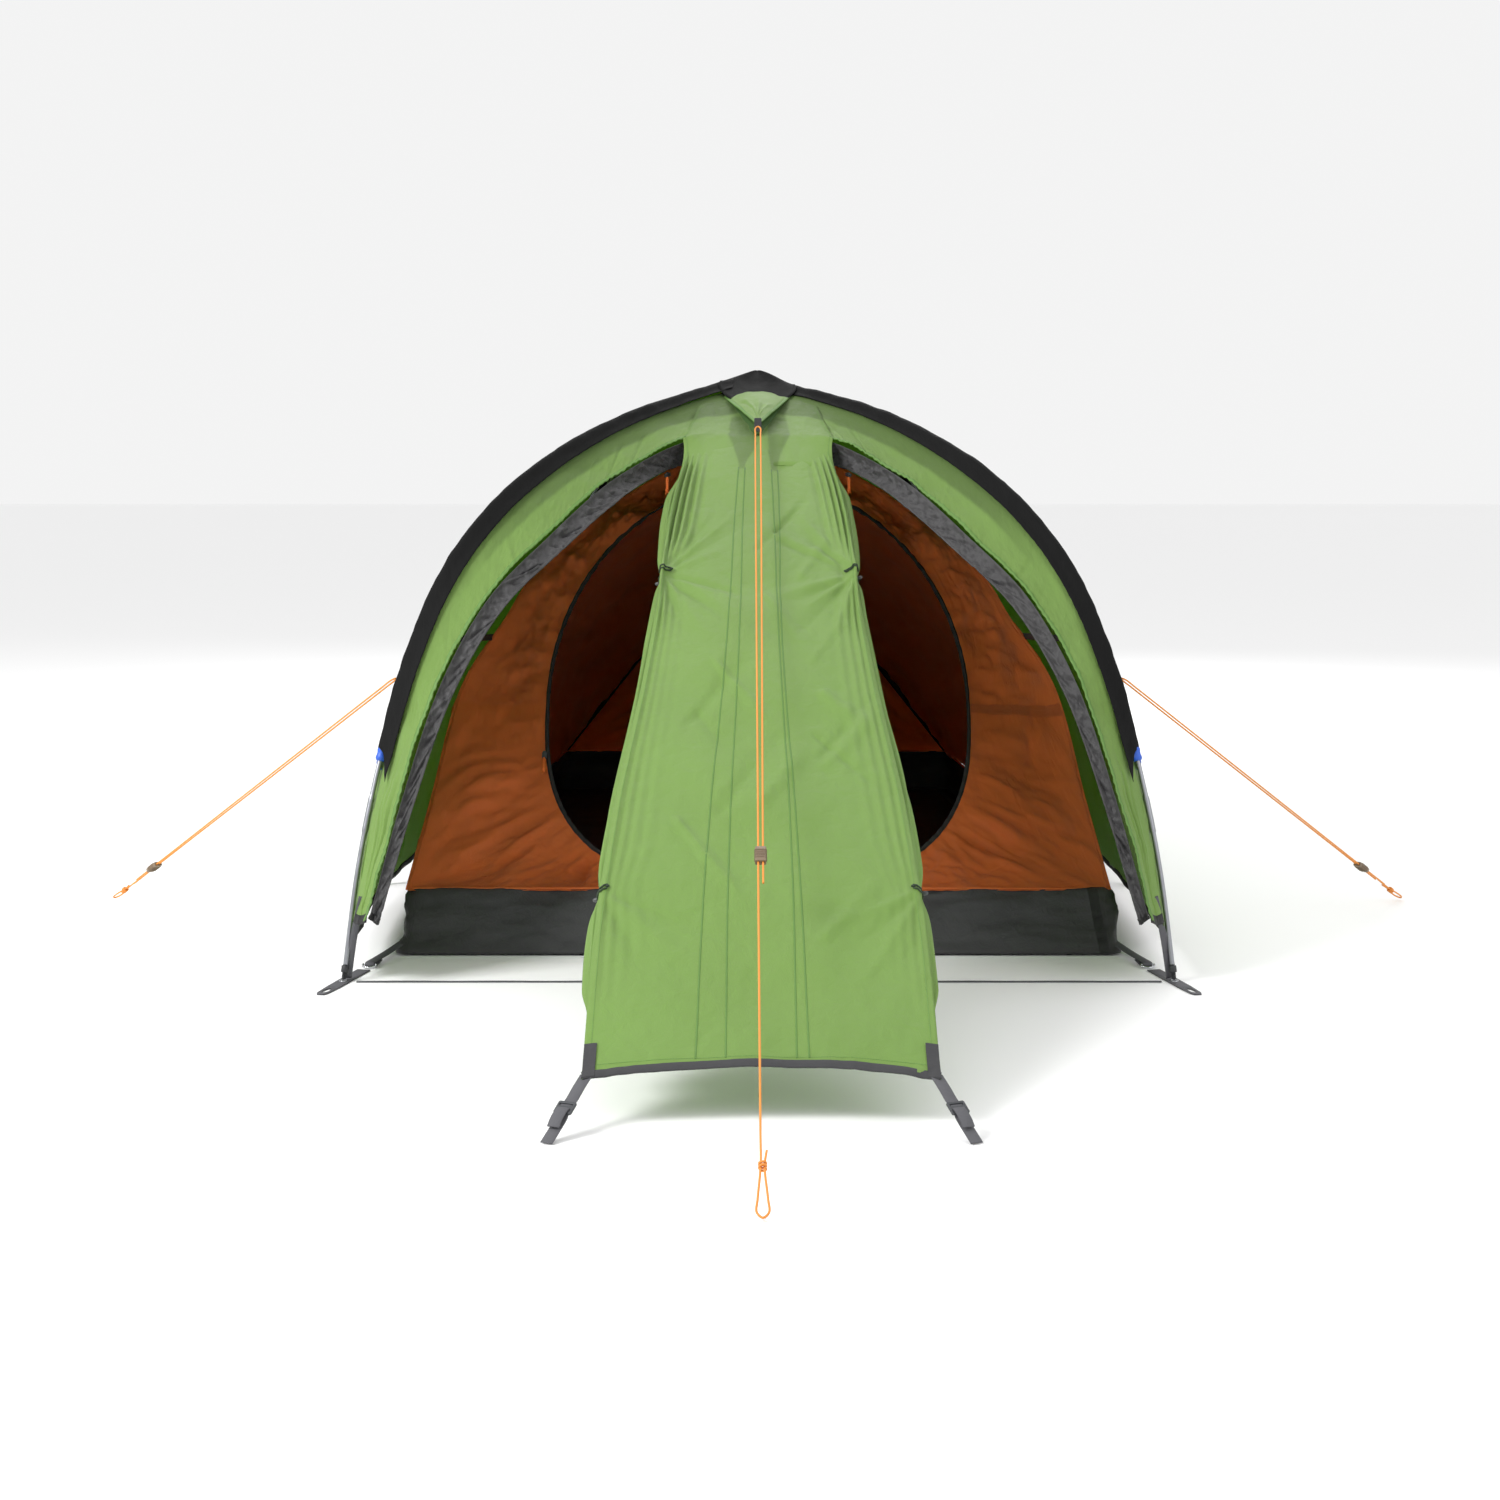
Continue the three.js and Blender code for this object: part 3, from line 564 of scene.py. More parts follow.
def newFinish(name, group, values, relief, glow=None, **shader):
    # one Principled shader fed by a group; glow is (share, colour) of the light that comes through cloth
    material = bpy.data.materials.new(name)
    material.use_nodes = True
    tree = material.node_tree
    tree.nodes.clear()
    node = wire(tree)
    feel = node("ShaderNodeGroup", node_tree=group)
    for label, value in values.items():
        feel.inputs[label].default_value = value
    bumpNode = node("ShaderNodeBump", {"Height": feel.outputs["Height"], "Strength": 1.0, "Distance": relief})
    face = node("ShaderNodeBsdfPrincipled", {"Base Color": feel.outputs["Colour"],
                                             "Roughness": feel.outputs["Roughness"],
                                             "Normal": bumpNode.outputs[0]})
    for label, value in shader.items():
        face.inputs[label.replace("_", " ")].default_value = value
    surface = face.outputs[0]
    if glow:
        share, colour = glow
        tinted = node("ShaderNodeMix", {0: 0.35, 6: colour, 7: feel.outputs["Colour"]}, data_type="RGBA")
        through = node("ShaderNodeBsdfTranslucent",
                       {"Color": tinted.outputs[2], "Normal": bumpNode.outputs[0]})
        surface = node("ShaderNodeMixShader", {0: share, 1: surface, 2: through.outputs[0]}).outputs[0]
    node("ShaderNodeOutputMaterial", {"Surface": surface})
    return material


def wovenFinish(name, colour, rough, threads, creases, relief, patchiness=0.12, glow=None, **shader):
    values = {"Colour": colour, "Threads": threads, "Creases": creases, "Patchiness": patchiness,
              "Rough": rough}
    return newFinish(name, weaveGroup, values, relief, glow, **shader)


def mouldedFinish(name, colour, rough, grain, wear, relief, **shader):
    return newFinish(name, mouldGroup, {"Colour": colour, "Grain": grain, "Wear": wear, "Rough": rough},
                     relief, **shader)


finishes = SimpleNamespace(
    fly=wovenFinish("flyCloth", tone(132, 166, 84), 0.5, 2600.0, 26.0, 0.0035, 0.2,
                    (0.34, tone(150, 200, 60)), Sheen_Weight=0.12, Specular_IOR_Level=0.35),
    # the vent mesh's dark tone is partly painted shade: it stands in for the hood's shadow
    ventMeshShade=wovenFinish("ventMeshAndShade", tone(62, 96, 40), 0.7, 4200.0, 40.0, 0.001, 0.1,
                          (0.2, tone(90, 130, 50))),
    sleeve=wovenFinish("sleeveCloth", tone(13, 13, 13), 0.7, 2600.0, 34.0, 0.002, 0.3,
                       Specular_IOR_Level=0.14),
    flap=wovenFinish("flapCloth", tone(54, 53, 54), 0.44, 2600.0, 60.0, 0.003, 0.3, Sheen_Weight=0.1,
                     Specular_IOR_Level=0.45),
    inner=wovenFinish("innerCloth", tone(236, 122, 50), 0.4, 3000.0, 22.0, 0.004, 0.25,
                      (0.38, tone(246, 136, 44)), Sheen_Weight=0.1, Specular_IOR_Level=0.55),
    floor=wovenFinish("floorCloth", tone(60, 60, 61), 0.48, 2400.0, 30.0, 0.003, 0.3, Specular_IOR_Level=0.4),
    binding=wovenFinish("bindingTape", tone(52, 52, 54), 0.7, 3600.0, 90.0, 0.0008, 0.25),
    blackTape=wovenFinish("blackTape", tone(24, 23, 23), 0.7, 3600.0, 90.0, 0.0008, 0.25),
    seamTape=wovenFinish("seamTape", tone(96, 134, 62), 0.6, 2600.0, 60.0, 0.0006, 0.1,
                         (0.15, tone(110, 150, 60))),
    webbing=wovenFinish("webbing", tone(84, 84, 88), 0.72, 3400.0, 120.0, 0.0012, 0.3),
    cord=wovenFinish("guyCord", tone(224, 142, 60), 0.62, 4200.0, 200.0, 0.0008, 0.2),
    pull=wovenFinish("pullCord", tone(226, 112, 40), 0.6, 4200.0, 200.0, 0.0008, 0.2),
    elastic=wovenFinish("elasticCord", tone(34, 52, 30), 0.7, 4200.0, 200.0, 0.0006, 0.2),
    alloy=mouldedFinish("anodisedAlloy", tone(150, 152, 157), 0.34, 1400.0, 0.12, 0.00015, Metallic=1.0),
    steel=mouldedFinish("ringSteel", tone(196, 198, 202), 0.24, 900.0, 0.2, 0.0002, Metallic=1.0),
    tip=mouldedFinish("tipPlastic", tone(40, 41, 43), 0.46, 1800.0, 0.3, 0.0002),
    lock=mouldedFinish("lockPlastic", tone(36, 86, 190), 0.4, 1800.0, 0.25, 0.0002),
    buckle=mouldedFinish("bucklePlastic", tone(58, 60, 63), 0.42, 1800.0, 0.3, 0.0002),
    toggle=mouldedFinish("togglePlastic", tone(70, 72, 72), 0.4, 1800.0, 0.3, 0.0002),
    runner=mouldedFinish("runnerPlastic", tone(122, 104, 84), 0.42, 1800.0, 0.3, 0.0002),
    zipTeeth=mouldedFinish("zipTeeth", tone(30, 29, 29), 0.38, 1800.0, 0.2, 0.0001),
    thread=mouldedFinish("thread", tone(120, 160, 84), 0.7, 1800.0, 0.2, 0.0001),
    darkThread=mouldedFinish("darkThread", tone(26, 26, 26), 0.7, 1800.0, 0.2, 0.0001),
)
print("finishes made")


# Camera, light and floor

view = {"spot": (-0.015, -5.290, 0.878), "pitch": 83.083, "lens": 57.96, "sensor": 36.0}
camera = linked("camera", bpy.data.cameras.new("camera"))
camera.data.lens = view["lens"]
camera.data.sensor_width = view["sensor"]
camera.location = view["spot"]
camera.rotation_euler = (math.radians(view["pitch"]), 0, 0)
bpy.context.scene.camera = camera

studio = {
    "sky": 0.90,
    "lamps": (  # name, spot, what it faces, size, watts
        ("keyLamp", (-2.9, -3.0, 3.0), (0, -0.4, 0.4), 1.5, 150),
        ("fillLamp", (2.8, -3.2, 2.4), (0, -0.4, 0.4), 2.6, 26),
        ("rearLamp", (0.6, 3.6, 3.2), (0, 0.2, 0.5), 3.4, 90),
    ),
    "floorTones": ((0.94, 0.94, 0.94, 1), (0.96, 0.96, 0.96, 1)),
    "floorHalf": 40,
    "floorDrop": 0.0006,  # keeps it clear of what lies on the ground
}
world = bpy.data.worlds.new("studioSky")
world.use_nodes = True
world.node_tree.nodes["Background"].inputs["Color"].default_value = (1, 1, 1, 1)
world.node_tree.nodes["Background"].inputs["Strength"].default_value = studio["sky"]
bpy.context.scene.world = world
bpy.context.scene.view_settings.view_transform = "Standard"
for name, spot, target, size, watts in studio["lamps"]:
    lamp = bpy.data.lights.new(name, "AREA")
    lamp.size = size
    lamp.energy = watts
    holder = linked(name, lamp)
    holder.location = spot
    holder.rotation_euler = (Vector(target) - Vector(spot)).to_track_quat("-Z", "Y").to_euler()
paper = bpy.data.materials.new("studioPaper")
paper.use_nodes = True
paperNode = wire(paper.node_tree)
paperGrain = paperNode("ShaderNodeTexNoise", {"Scale": 3.0})
toneLow, toneHigh = studio["floorTones"]
paperTone = paperNode("ShaderNodeMix", {0: paperGrain.outputs["Fac"], 6: toneLow, 7: toneHigh},
                      data_type="RGBA")
paperShader = paper.node_tree.nodes["Principled BSDF"]
paper.node_tree.links.new(paperTone.outputs[2], paperShader.inputs["Base Color"])
paperShader.inputs["Roughness"].default_value = 0.9
floorCorners = [(x * studio["floorHalf"], y * studio["floorHalf"], -studio["floorDrop"])
                for x, y in ((-1, -1), (1, -1), (1, 1), (-1, 1))]
floor = newPiece("studioFloor", floorCorners, [(0, 1, 2, 3)], paper, smooth=False)


# Guy lines: each leaves its runner, turns at the tent, and comes back through the runner to a peg loop

guyLine = {
    "radius": 0.0015, "strandGap": 0.0034, "knotShare": 0.958, "knotRadius": 0.0042, "knotHalf": 0.006,
    "runnerHalf": (0.008, 0.0045), "runnerLength": 0.034, "boreGap": 0.0007,
    "ribs": (-0.009, -0.0045, 0, 0.0045, 0.009), "ribHalf": (0.0084, 0.0049), "ribRadius": 0.0007,
    "lines": {  # where it holds the tent, where it is pegged, and the runner's share of the way
        "front": (place(0, 0.634, 0.936), place(0, -1.286, 0.004), 0.66),
        "left": (place(-0.622, 0.134, 0.502), place(-1.284, 0.760, 0.004), 0.84),
        "right": (place(0.622, 0.134, 0.502), place(1.284, 0.760, 0.004), 0.84),
    },
}


def guyRoute(anchor, peg, runnerShare):
    way = peg - anchor
    length = np.linalg.norm(way)
    way = way / length
    across = unit(np.cross(way, (0, 0, 1)))
    gap = guyLine["strandGap"]
    runner, knot = length * runnerShare, length * guyLine["knotShare"]
    steps = [
        (runner + 0.066, -gap), (runner + 0.02, -gap), (runner - 0.06, -gap), (runner * 0.5, -gap - 0.001),
        (0.04, -gap - 0.0015), (0.008, -gap - 0.001), (0.0016, 0), (0.008, gap + 0.001), (0.04, gap + 0.0015),
        (runner * 0.5, gap + 0.001), (runner - 0.06, gap), (runner + 0.09, gap), (knot - 0.06, 0.0024),
        (knot, 0.0024), (length - 0.034, 0.006), (length - 0.01, 0.007), (length - 0.0016, 0),
        (length - 0.01, -0.007), (length - 0.034, -0.006), (knot, -0.0024), (knot - 0.026, -0.005),
    ]
    route = smoothCurve([anchor + way * along + across * off for along, off in steps], 22)
    return route, way, across, anchor + way * runner, anchor + way * knot


def makeGuyLine(side):
    route, way, across, runnerSpot, knotSpot = guyRoute(*guyLine["lines"][side])
    line = tube(f"guyLine_{side}", route.dense, guyLine["radius"], finishes.cord, 10)
    settle(line, "guy_cord", f"guy_line_{side}")
    third = np.cross(way, across)
    radius, gap = guyLine["knotRadius"], guyLine["strandGap"]
    wraps = coilAt(knotSpot, across, third, way, radius, radius, guyLine["knotHalf"], 2.5, 90)
    knot = settle(tube(f"guyKnot_{side}", wraps, guyLine["radius"], finishes.cord, 8), "guy_cord")
    rim = roundedBox(*guyLine["runnerHalf"], 0.002)
    holes = [circle(guyLine["radius"] + guyLine["boreGap"], 18) + (off, 0) for off in (-gap, gap)]
    runner = cutPlate(f"runnerBody_{side}", [rim, *holes], guyLine["runnerLength"], 0.0006,
                      basis(across, third, way, runnerSpot), finishes.runner)
    outline = roundedBox(*guyLine["ribHalf"], 0.0022)
    section = outline[:, :1] * across + outline[:, 1:] * third
    ribs = []
    for along in guyLine["ribs"]:
        ring = runnerSpot + way * along + section
        ribs.append(tube(f"rib{along}", ring, guyLine["ribRadius"], finishes.runner, 6, True))
    grip = joined(f"runnerGrip_{side}", ribs)
    settle(runner, "runner", f"runner_{side}", body=f"runner_{side}")
    settle(grip, "runner", body=f"runner_{side}")
    start = route.dense[0]
    tuple(start)
    print("guy line", side, round(float(route.length), 3), "m")


for side in guyLine["lines"]:
    makeGuyLine(side)


# The tent's lines: pole legs, zips and seams

# how a leg climbs: its share of the way to the crossing, and its share of the height
legRise = ((0, 0), (0.035, 0.19), (0.085, 0.366), (0.146, 0.526), (0.234, 0.67), (0.38, 0.798), (0.617, 0.908),
           (1, 1))


def legCurve(side, half, footY):
    return smoothCurve([(side * half * (1 - share), footY + (apexY - footY) * share, legTop * height)
                        for share, height in legRise], 120)


legs = {
    "frontLeft": legCurve(-1, footHalfFront, footFrontY),
    "frontRight": legCurve(1, footHalfFront, footFrontY),
    "rearLeft": legCurve(-1, footHalfRear, footRearY), "rearRight": legCurve(1, footHalfRear, footRearY),
}
legShares = np.linspace(0, 1, 4001)


def shareAtHeight(leg, height):
    return float(np.interp(height, leg.at(legShares)[:, 2], legShares))


def tangentOf(curve, share):
    share = np.asarray(share, float)
    return unit(curve.at(np.minimum(1, share + 2e-3)) - curve.at(np.maximum(0, share - 2e-3)))


def clearance(leg, share, chord):
    # how far along a chord a wall starts, to stay clear of the sleeve
    reach = np.linalg.norm(chord, axis=-1)
    cosine = (tangentOf(leg, share) * unit(chord)).sum(-1)
    return np.minimum(0.42, skinGap / np.maximum(0.2, np.sqrt(1 - np.minimum(1, cosine**2))) / reach)


def along3(shares, spots):
    return spots * np.asarray(shares)[..., None]


def mirrored(surface):
    return lambda u, v: surface(1 - u, v) * (-1, 1, 1)


topShare = 0.965
lowShares = {name: shareAtHeight(leg, hemHeight) for name, leg in legs.items()}


def wallBetween(first, second, bulge):
    # u runs from the first leg to the second, v from the hem to the crossing
    def surface(u, v):
        shareA = lerp(lowShares[first], topShare, v)
        shareB = lerp(lowShares[second], topShare, v)
        a = legs[first].at(shareA)
        chord = legs[second].at(shareB) - a
        start = clearance(legs[first], shareA, chord)
        end = 1 - clearance(legs[second], shareB, chord)
        return a + along3(lerp(start, end, u), chord) + bulge(np.clip(u, 0, 1), v)

    return surface


def hump(u):
    return np.sin(math.pi * u) ** 0.8


def stacked(x, y, z):
    return np.stack(np.broadcast_arrays(x, y, z), -1).astype(float)


def fade(v):
    return np.maximum(0, 1 - v) ** 1.6


def sideBulge(u, v):
    return stacked(sideHemBulge * hump(u) * fade(v), 0, -0.003 * hump(u))


def rearBulge(u, v):
    return stacked(0, rearHemBulge * hump(u) * fade(v), 0)


rightWall = wallBetween("frontRight", "rearRight", sideBulge)
rearWall = wallBetween("rearRight", "rearLeft", rearBulge)
zipLine = smoothCurve([place(0.0015, 0.668, 0.919), place(0.07, 0.660, 0.918), place(0.13, 0.638, 0.915),
                       place(0.265, 0.48, 0.846), place(0.38, 0.3, 0.74), place(0.472, 0.185, 0.64),
                       place(0.545, 0.09, 0.5), place(0.6, 0.005, 0.32), place(0.657, -0.036, 0.11)])
bandLow = shareAtHeight(legs["frontRight"], 0.1)


def bandSurface(u, v):
    # u runs from the zip to the pole, v from the crossing to the foot
    share = lerp(0.9985, bandLow, v)
    onLeg = legs["frontRight"].at(share)
    chord = zipLine.at(v) - onLeg
    spot = onLeg + along3(lerp(clearance(legs["frontRight"], share, chord), 1, 1 - u), chord)
    return spot - stacked(0, 0, 0.004 * np.sin(math.pi * u))


panelEnds = (place(0, 0.66, 0.915), place(0, -0.11, 0.52), place(0, -0.873, 0.06))
panelHalf = smoothCurve([(0, 0, 0.128), (0.1, 0, 0.16), (0.3, 0, 0.172), (0.5, 0, 0.192), (0.75, 0, 0.22),
                         (0.9, 0, 0.236), (1, 0, 0.238)])


def panelLine(v):
    t = np.asarray(1 - v, float)[..., None]
    return (1 - t) ** 2 * panelEnds[0] + 2 * t * (1 - t) * panelEnds[1] + t**2 * panelEnds[2]


def halfPanel(v):
    return panelHalf.step(1 - np.asarray(v, float))[..., 2]


def panelSurface(u, v):
    # u runs from left to right, v from the hem to the hood
    middle = 1 - (2 * u - 1) ** 2
    swell = 0.010 * np.sin(math.pi * u) * np.sin(math.pi * v)
    spot = panelLine(v) + stacked((2 * u - 1) * halfPanel(v), 0, swell)
    return spot + stacked(0, 0.02, 0.013) * (middle * np.exp(-v / 0.05))[..., None]


flapStart = 0.125


def flapInner(v):
    spot = zipLine.at(lerp(flapStart, 0.992, v))
    width = lerp(0.05, 0.026, v)
    turned = np.minimum(1, v / 0.2)
    return spot + stacked(-0.74 * width * turned, -0.05 * width, -width * lerp(0.95, 0.62, turned))


def flapSurface(u, v):
    edge = zipLine.at(lerp(flapStart, 0.992, v)) + (-0.005, 0, -0.005)
    return edge + along3(1 - u, flapInner(v) - edge)


wallLean = 0.754


def innerFrontY(z):
    return frontY + wallLean * z


frontOutline = smoothCurve([(0.632, 0, 0.104), (0.6, 0, 0.25), (0.556, 0, 0.45), (0.482, 0, 0.57),
                            (0.435, 0, 0.648),
                            (0.28, 0, 0.785), (0.12, 0, 0.88), (0.024, 0, 0.926)])
ridgeRear = place(0.002, 2.02, 0.748)
rearCorner = np.array([0.508, rearY - 0.044, 0.104])


def frontEdge(v):
    spot = frontOutline.at(v)
    return stacked(spot[..., 0], innerFrontY(spot[..., 2]), spot[..., 2])


def innerSideSurface(u, v):
    a = frontEdge(v) + (0, 0.006, 0)
    b = rearCorner + along3(v, ridgeRear - rearCorner) - (0, 0.006, 0)
    swell = np.sin(math.pi * u) * np.sin(math.pi * v)
    return a + along3(u, b - a) + stacked(0.034 * swell, 0, 0.016 * swell)


def innerRearSurface(u, v):
    edge = rearCorner + along3(v * 0.97, ridgeRear - rearCorner)
    half = np.maximum(0.004, edge[..., 0] - 0.002)
    swell = 0.018 * np.sin(math.pi * u) * (1 - v)
    return stacked((1 - 2 * u) * half, edge[..., 1] + 0.004 + swell, edge[..., 2])


# Poles, their tips, and the sleeves that hold them

pole = {"ferruleRadius": 0.0052, "ferruleHalf": 0.03, "segment": 0.36, "tipShare": 0.016, "tipLength": 0.024}


def poleRun(leg, lift, start, end, count):
    shares = np.linspace(start, end, count)
    return legs[leg].at(shares) + stacked(0, 0, lift * smoothstep(shares, 0.8, 1))


for name, leg, lift in (("a_front", "frontLeft", 1), ("a_rear", "rearRight", 1),
                        ("b_front", "frontRight", -1),
                        ("b_rear", "rearLeft", -1)):
    path = poleRun(leg, lift * poleSpacing / 2, pole["tipShare"], 0.9992, 460)
    run = np.linspace(0, legs[leg].length, len(path)) + 0.1
    fromJoint = np.abs((run + pole["segment"] / 2) % pole["segment"] - pole["segment"] / 2)
    radius = np.where(fromJoint < pole["ferruleHalf"], pole["ferruleRadius"], poleRadius)
    settle(tube(f"poleRun_{name}", path, radius, finishes.alloy, 16), "alloy", f"pole_{name}")

tipProfile = ((0, 0.0018), (0.0008, 0.0030), (0.003, 0.0039), (0.012, 0.0040), (0.0124, 0.0060),
              (0.0138, 0.0065),
              (0.0228, 0.0065), (0.0238, 0.0060), (0.024, 0.0045))
for leg, end in (("frontLeft", "front_left"), ("frontRight", "front_right"), ("rearLeft", "rear_left"),
                 ("rearRight", "rear_right")):
    top = legs[leg].at(pole["tipShare"])
    down = unit(legs[leg].at(0) - top)
    heights, radii = zip(*tipProfile)
    path = top + down * (pole["tipLength"] + 0.0004) - np.outer(heights, down)
    settle(tube(f"poleTip_{end}", path, radii, finishes.tip, 24), "tip", f"pole_tip_{end}")

sleeve = {"wrap": 0.0088, "bandFlange": 0.047, "wallFlange": 0.034, "topShare": 0.952, "slant": 0.022,
          "hug": 0.0058}


def outward(normal, spots):
    away = ((spots - (0, 0, 0.3)) * normal).sum(-1, keepdims=True)
    return normal * np.sign(away)


def chordTo(leg, share, target):
    # the way a cloth leaves a leg: towards the door zip, or towards the next leg
    onLeg = legs[leg].at(share)
    if target == "band":
        side = 1 if leg == "frontRight" else -1
        v = np.clip((0.9985 - share) / (0.9985 - bandLow), 0, 1)
        return zipLine.at(v) * (side, 1, 1) - onLeg
    v = (share - lowShares[leg]) / (topShare - lowShares[leg])
    return legs[target].at(np.minimum(0.999, lerp(lowShares[target], topShare, v))) - onLeg


def sleeveGrid(leg, lift, first, second, start, end, along=110):
    flange, arc = 9, 9
    shares = np.linspace(start, end, along)
    rows = []
    for target, sign in ((first, 1), (second, -1)):
        width = sleeve["bandFlange"] if target == "band" else sleeve["wallFlange"]
        for k in range(flange):
            d = width * (1 - k / flange)
            slant = sleeve["slant"] * smoothstep(d, 0.012, 0.05)
            slant = slant * (1 - smoothstep(shares, start, start + 0.12))
            share = shares - (slant if target == "band" else 0)
            spine = legs[leg].at(share) + stacked(0, 0, lift * smoothstep(share, 0.8, 1))
            chord = chordTo(leg, share, target)
            reach = np.minimum(d, 0.46 * np.linalg.norm(chord, axis=-1))
            normal = outward(unit(np.cross(tangentOf(legs[leg], share), chord)), spine)
            hug = lerp(sleeve["wrap"], sleeve["hug"], smoothstep(d, 0, 0.03))
            rows.append((sign, d, spine + along3(reach, unit(chord)) + normal * hug))
    spine = legs[leg].at(shares) + stacked(0, 0, lift * smoothstep(shares, 0.8, 1))
    ways = [outward(unit(np.cross(tangentOf(legs[leg], shares), chordTo(leg, shares, target))), spine)
            for target in (first, second)]
    over = [spine + unit(lerp(ways[0], ways[1], k / (arc - 1))) * sleeve["wrap"] for k in range(arc)]
    firstRows = [row for sign, d, row in rows if sign > 0]
    secondRows = [row for sign, d, row in rows if sign < 0][::-1]
    return np.stack([*firstRows, *over, *secondRows])


def gridCloth(name, grid, material, wrinkle=None, thick=clothThick, flat=None):
    # a cloth whose points are already known
    def surface(u, v):
        return grid

    return cloth(name, surface, grid.shape[0] - 1, grid.shape[1] - 1, material, wrinkle, thick, flat=flat)


def sleeveCrease(u, v, width, length, grid):
    pucker = 0.0006 * np.sin(v * length * 260) * np.exp(-np.minimum(u, 1 - u) * 9)
    return roughen(grid, (16, 16, 30), 0.0016, 3) + pucker


for end, leg, lift, first, second in (
        ("front_left", "frontLeft", 1, "rearLeft", "band"),
        ("front_right", "frontRight", -1, "band", "rearRight"),
        ("rear_left", "rearLeft", -1, "rearRight", "frontLeft"),
        ("rear_right", "rearRight", 1, "frontRight", "rearLeft")):
    start = shareAtHeight(legs[leg], sleeveEndHeight)
    grid = sleeveGrid(leg, lift * poleSpacing / 2, first, second, start, sleeve["topShare"])
    made = gridCloth(f"poleSleeve_{end}", grid, finishes.sleeve, sleeveCrease, 0.0011)
    declareSheet(made, "stretched", [f"pole_{'ab'[lift < 0]}_{end.split('_')[0]}"], "sleeve", f"sleeve_{end}")

# Crown: the black patch over the crossing, spread between the four legs
crown = {"reach": 0.925, "frontReach": 0.050, "lift": 0.0172, "edgeLift": 0.0114, "overPole": 0.0036,
         "frontSlope": 0.37}


def crownGrid(across=28, along=26):
    order = ("frontLeft", "frontRight", "rearRight", "rearLeft")
    columns = []
    for k, leg in enumerate(order):
        after = order[(k + 1) % 4]
        for f in np.linspace(0, 1, across, endpoint=False):
            arch = math.sin(math.pi * f)
            edge = crown["reach"] - (crown["frontReach"] * arch**0.8 if k == 0 else -0.02 * arch)
            shares = lerp(edge, 0.9999, np.linspace(0, 1, along) ** 0.9)
            a, b = legs[leg].at(shares), legs[after].at(shares)
            spots = a + (b - a) * f
            centred = smoothstep(shares, edge, 0.985)
            over = crown["overPole"] * math.cos(math.pi * f) * (-1) ** k  # poles cross one above the other
            spots[:, 2] += lerp(crown["edgeLift"] + over, crown["lift"], centred) - 0.006 * arch
            if k == 0:
                surface = legTop - crown["frontSlope"] * (apexY - spots[:, 1]) + 0.006
                spots[:, 2] = lerp(spots[:, 2], surface, arch * smoothstep(apexY - spots[:, 1], 0, 0.06))
            columns.append(spots)
    return np.stack(columns)[::-1]


def makeCrown():
    grid = crownGrid()
    grid[:, -1] = grid[:, -1].mean(0)
    grid[:, -1, 2] += 0.0005
    for _ in range(6):  # rounds the peak where the four legs meet
        inner = (grid[:, :-2] + grid[:, 2:]) / 2
        turned = (np.roll(grid, 1, 0) + np.roll(grid, -1, 0))[:, 1:-1] / 2
        grid[:, 1:-1] = grid[:, 1:-1] * 0.4 + inner * 0.3 + turned * 0.3
    flat = grid[:, :-1]
    normal = gridNormals(grid, True)[:, :-1]
    normal *= np.sign(normal[..., 2:])
    a, b = flat.shape[:2]
    verts = []
    for offset in (clothThick, 0):
        verts += [(flat + normal * offset).reshape(-1, 3), [grid[0, -1] + (0, 0, offset)]]
    verts = np.concatenate(verts)
    half = a * b + 1
    index = np.arange(a * b).reshape(a, b)
    index = np.concatenate([index, index[:1]])
    top = quads(index[:-1, :-1], index[1:, :-1], index[1:, 1:], index[:-1, 1:])
    faces = top.tolist() + (top + half)[:, ::-1].tolist()
    for k in range(a):
        faces += [[index[k, -1], index[k + 1, -1], half - 1],
                  [index[k + 1, -1] + half, index[k, -1] + half, 2 * half - 1]]
        faces.append([index[k + 1, 0], index[k, 0], index[k, 0] + half, index[k + 1, 0] + half])
    piece = newPiece("crownPatch", verts, faces, finishes.sleeve, verts[:, :2])
    turnFacesOut(piece.data)
    settle(piece, "sleeve")


makeCrown()

# Blue locks that grip the poles where the front sleeves end
lock = {
    "radius": 0.0088, "tab": (0.014, 0.0026),
    "rings": (0.7, 0.92, 1, 1, 0.94, 0.9, 0.9, 0.94, 1, 1, 0.92, 0.7),
}
for hand, side in sides.items():
    leg = legs["frontRight"]
    start = shareAtHeight(leg, sleeveEndHeight)
    path = leg.at(np.linspace(start - 0.012, start + 0.002, 12)) * (side, 1, 1)
    body = tube(f"lockBody{hand}", path, lock["radius"] * np.array(lock["rings"]), finishes.lock, 20)
    hook = path[3] + np.array([(0, 0, 0), (side * 0.006, 0.004, -0.006), (side * 0.004, 0.008, -0.016),
                               (side * -0.002, 0.008, -0.022)])
    clip = strap(f"lockTab{hand}", through(hook, 14), *lock["tab"], (0, 1, 0.2), finishes.lock)
    settle(joined(f"poleLock_{hand}", [body, clip]), "lock", f"sleeve_lock_{hand}")
print("poles and sleeves made")


# Flysheet


def paintShade(made, mask):
    # paints shade into a cloth's colour: the mask says how much darker each point is
    both = np.tile(np.asarray(mask, np.float32).ravel(), 2)
    made.piece.data.attributes.new("layer", "FLOAT", "POINT").data.foreach_set("value", both)


def edgeTape(name, made, edge, width, thick, material, start=0.0, end=1.0, count=160):
    # a tape folded over one edge of a cloth
    s = np.linspace(start, end, count)
    edges = {"low": (s, 0, s, 0.02), "high": (s, 1, s, 0.98), "first": (0, s, 0.02, s),
             "last": (1, s, 0.98, s)}
    u, v, inU, inV = edges[edge]
    path = onCloth(made, u, v)
    inward = unit(onCloth(made, inU, inV) - path)
    return strap(name, path + inward * (width / 2 - 0.0012), width, thick, inward, material)


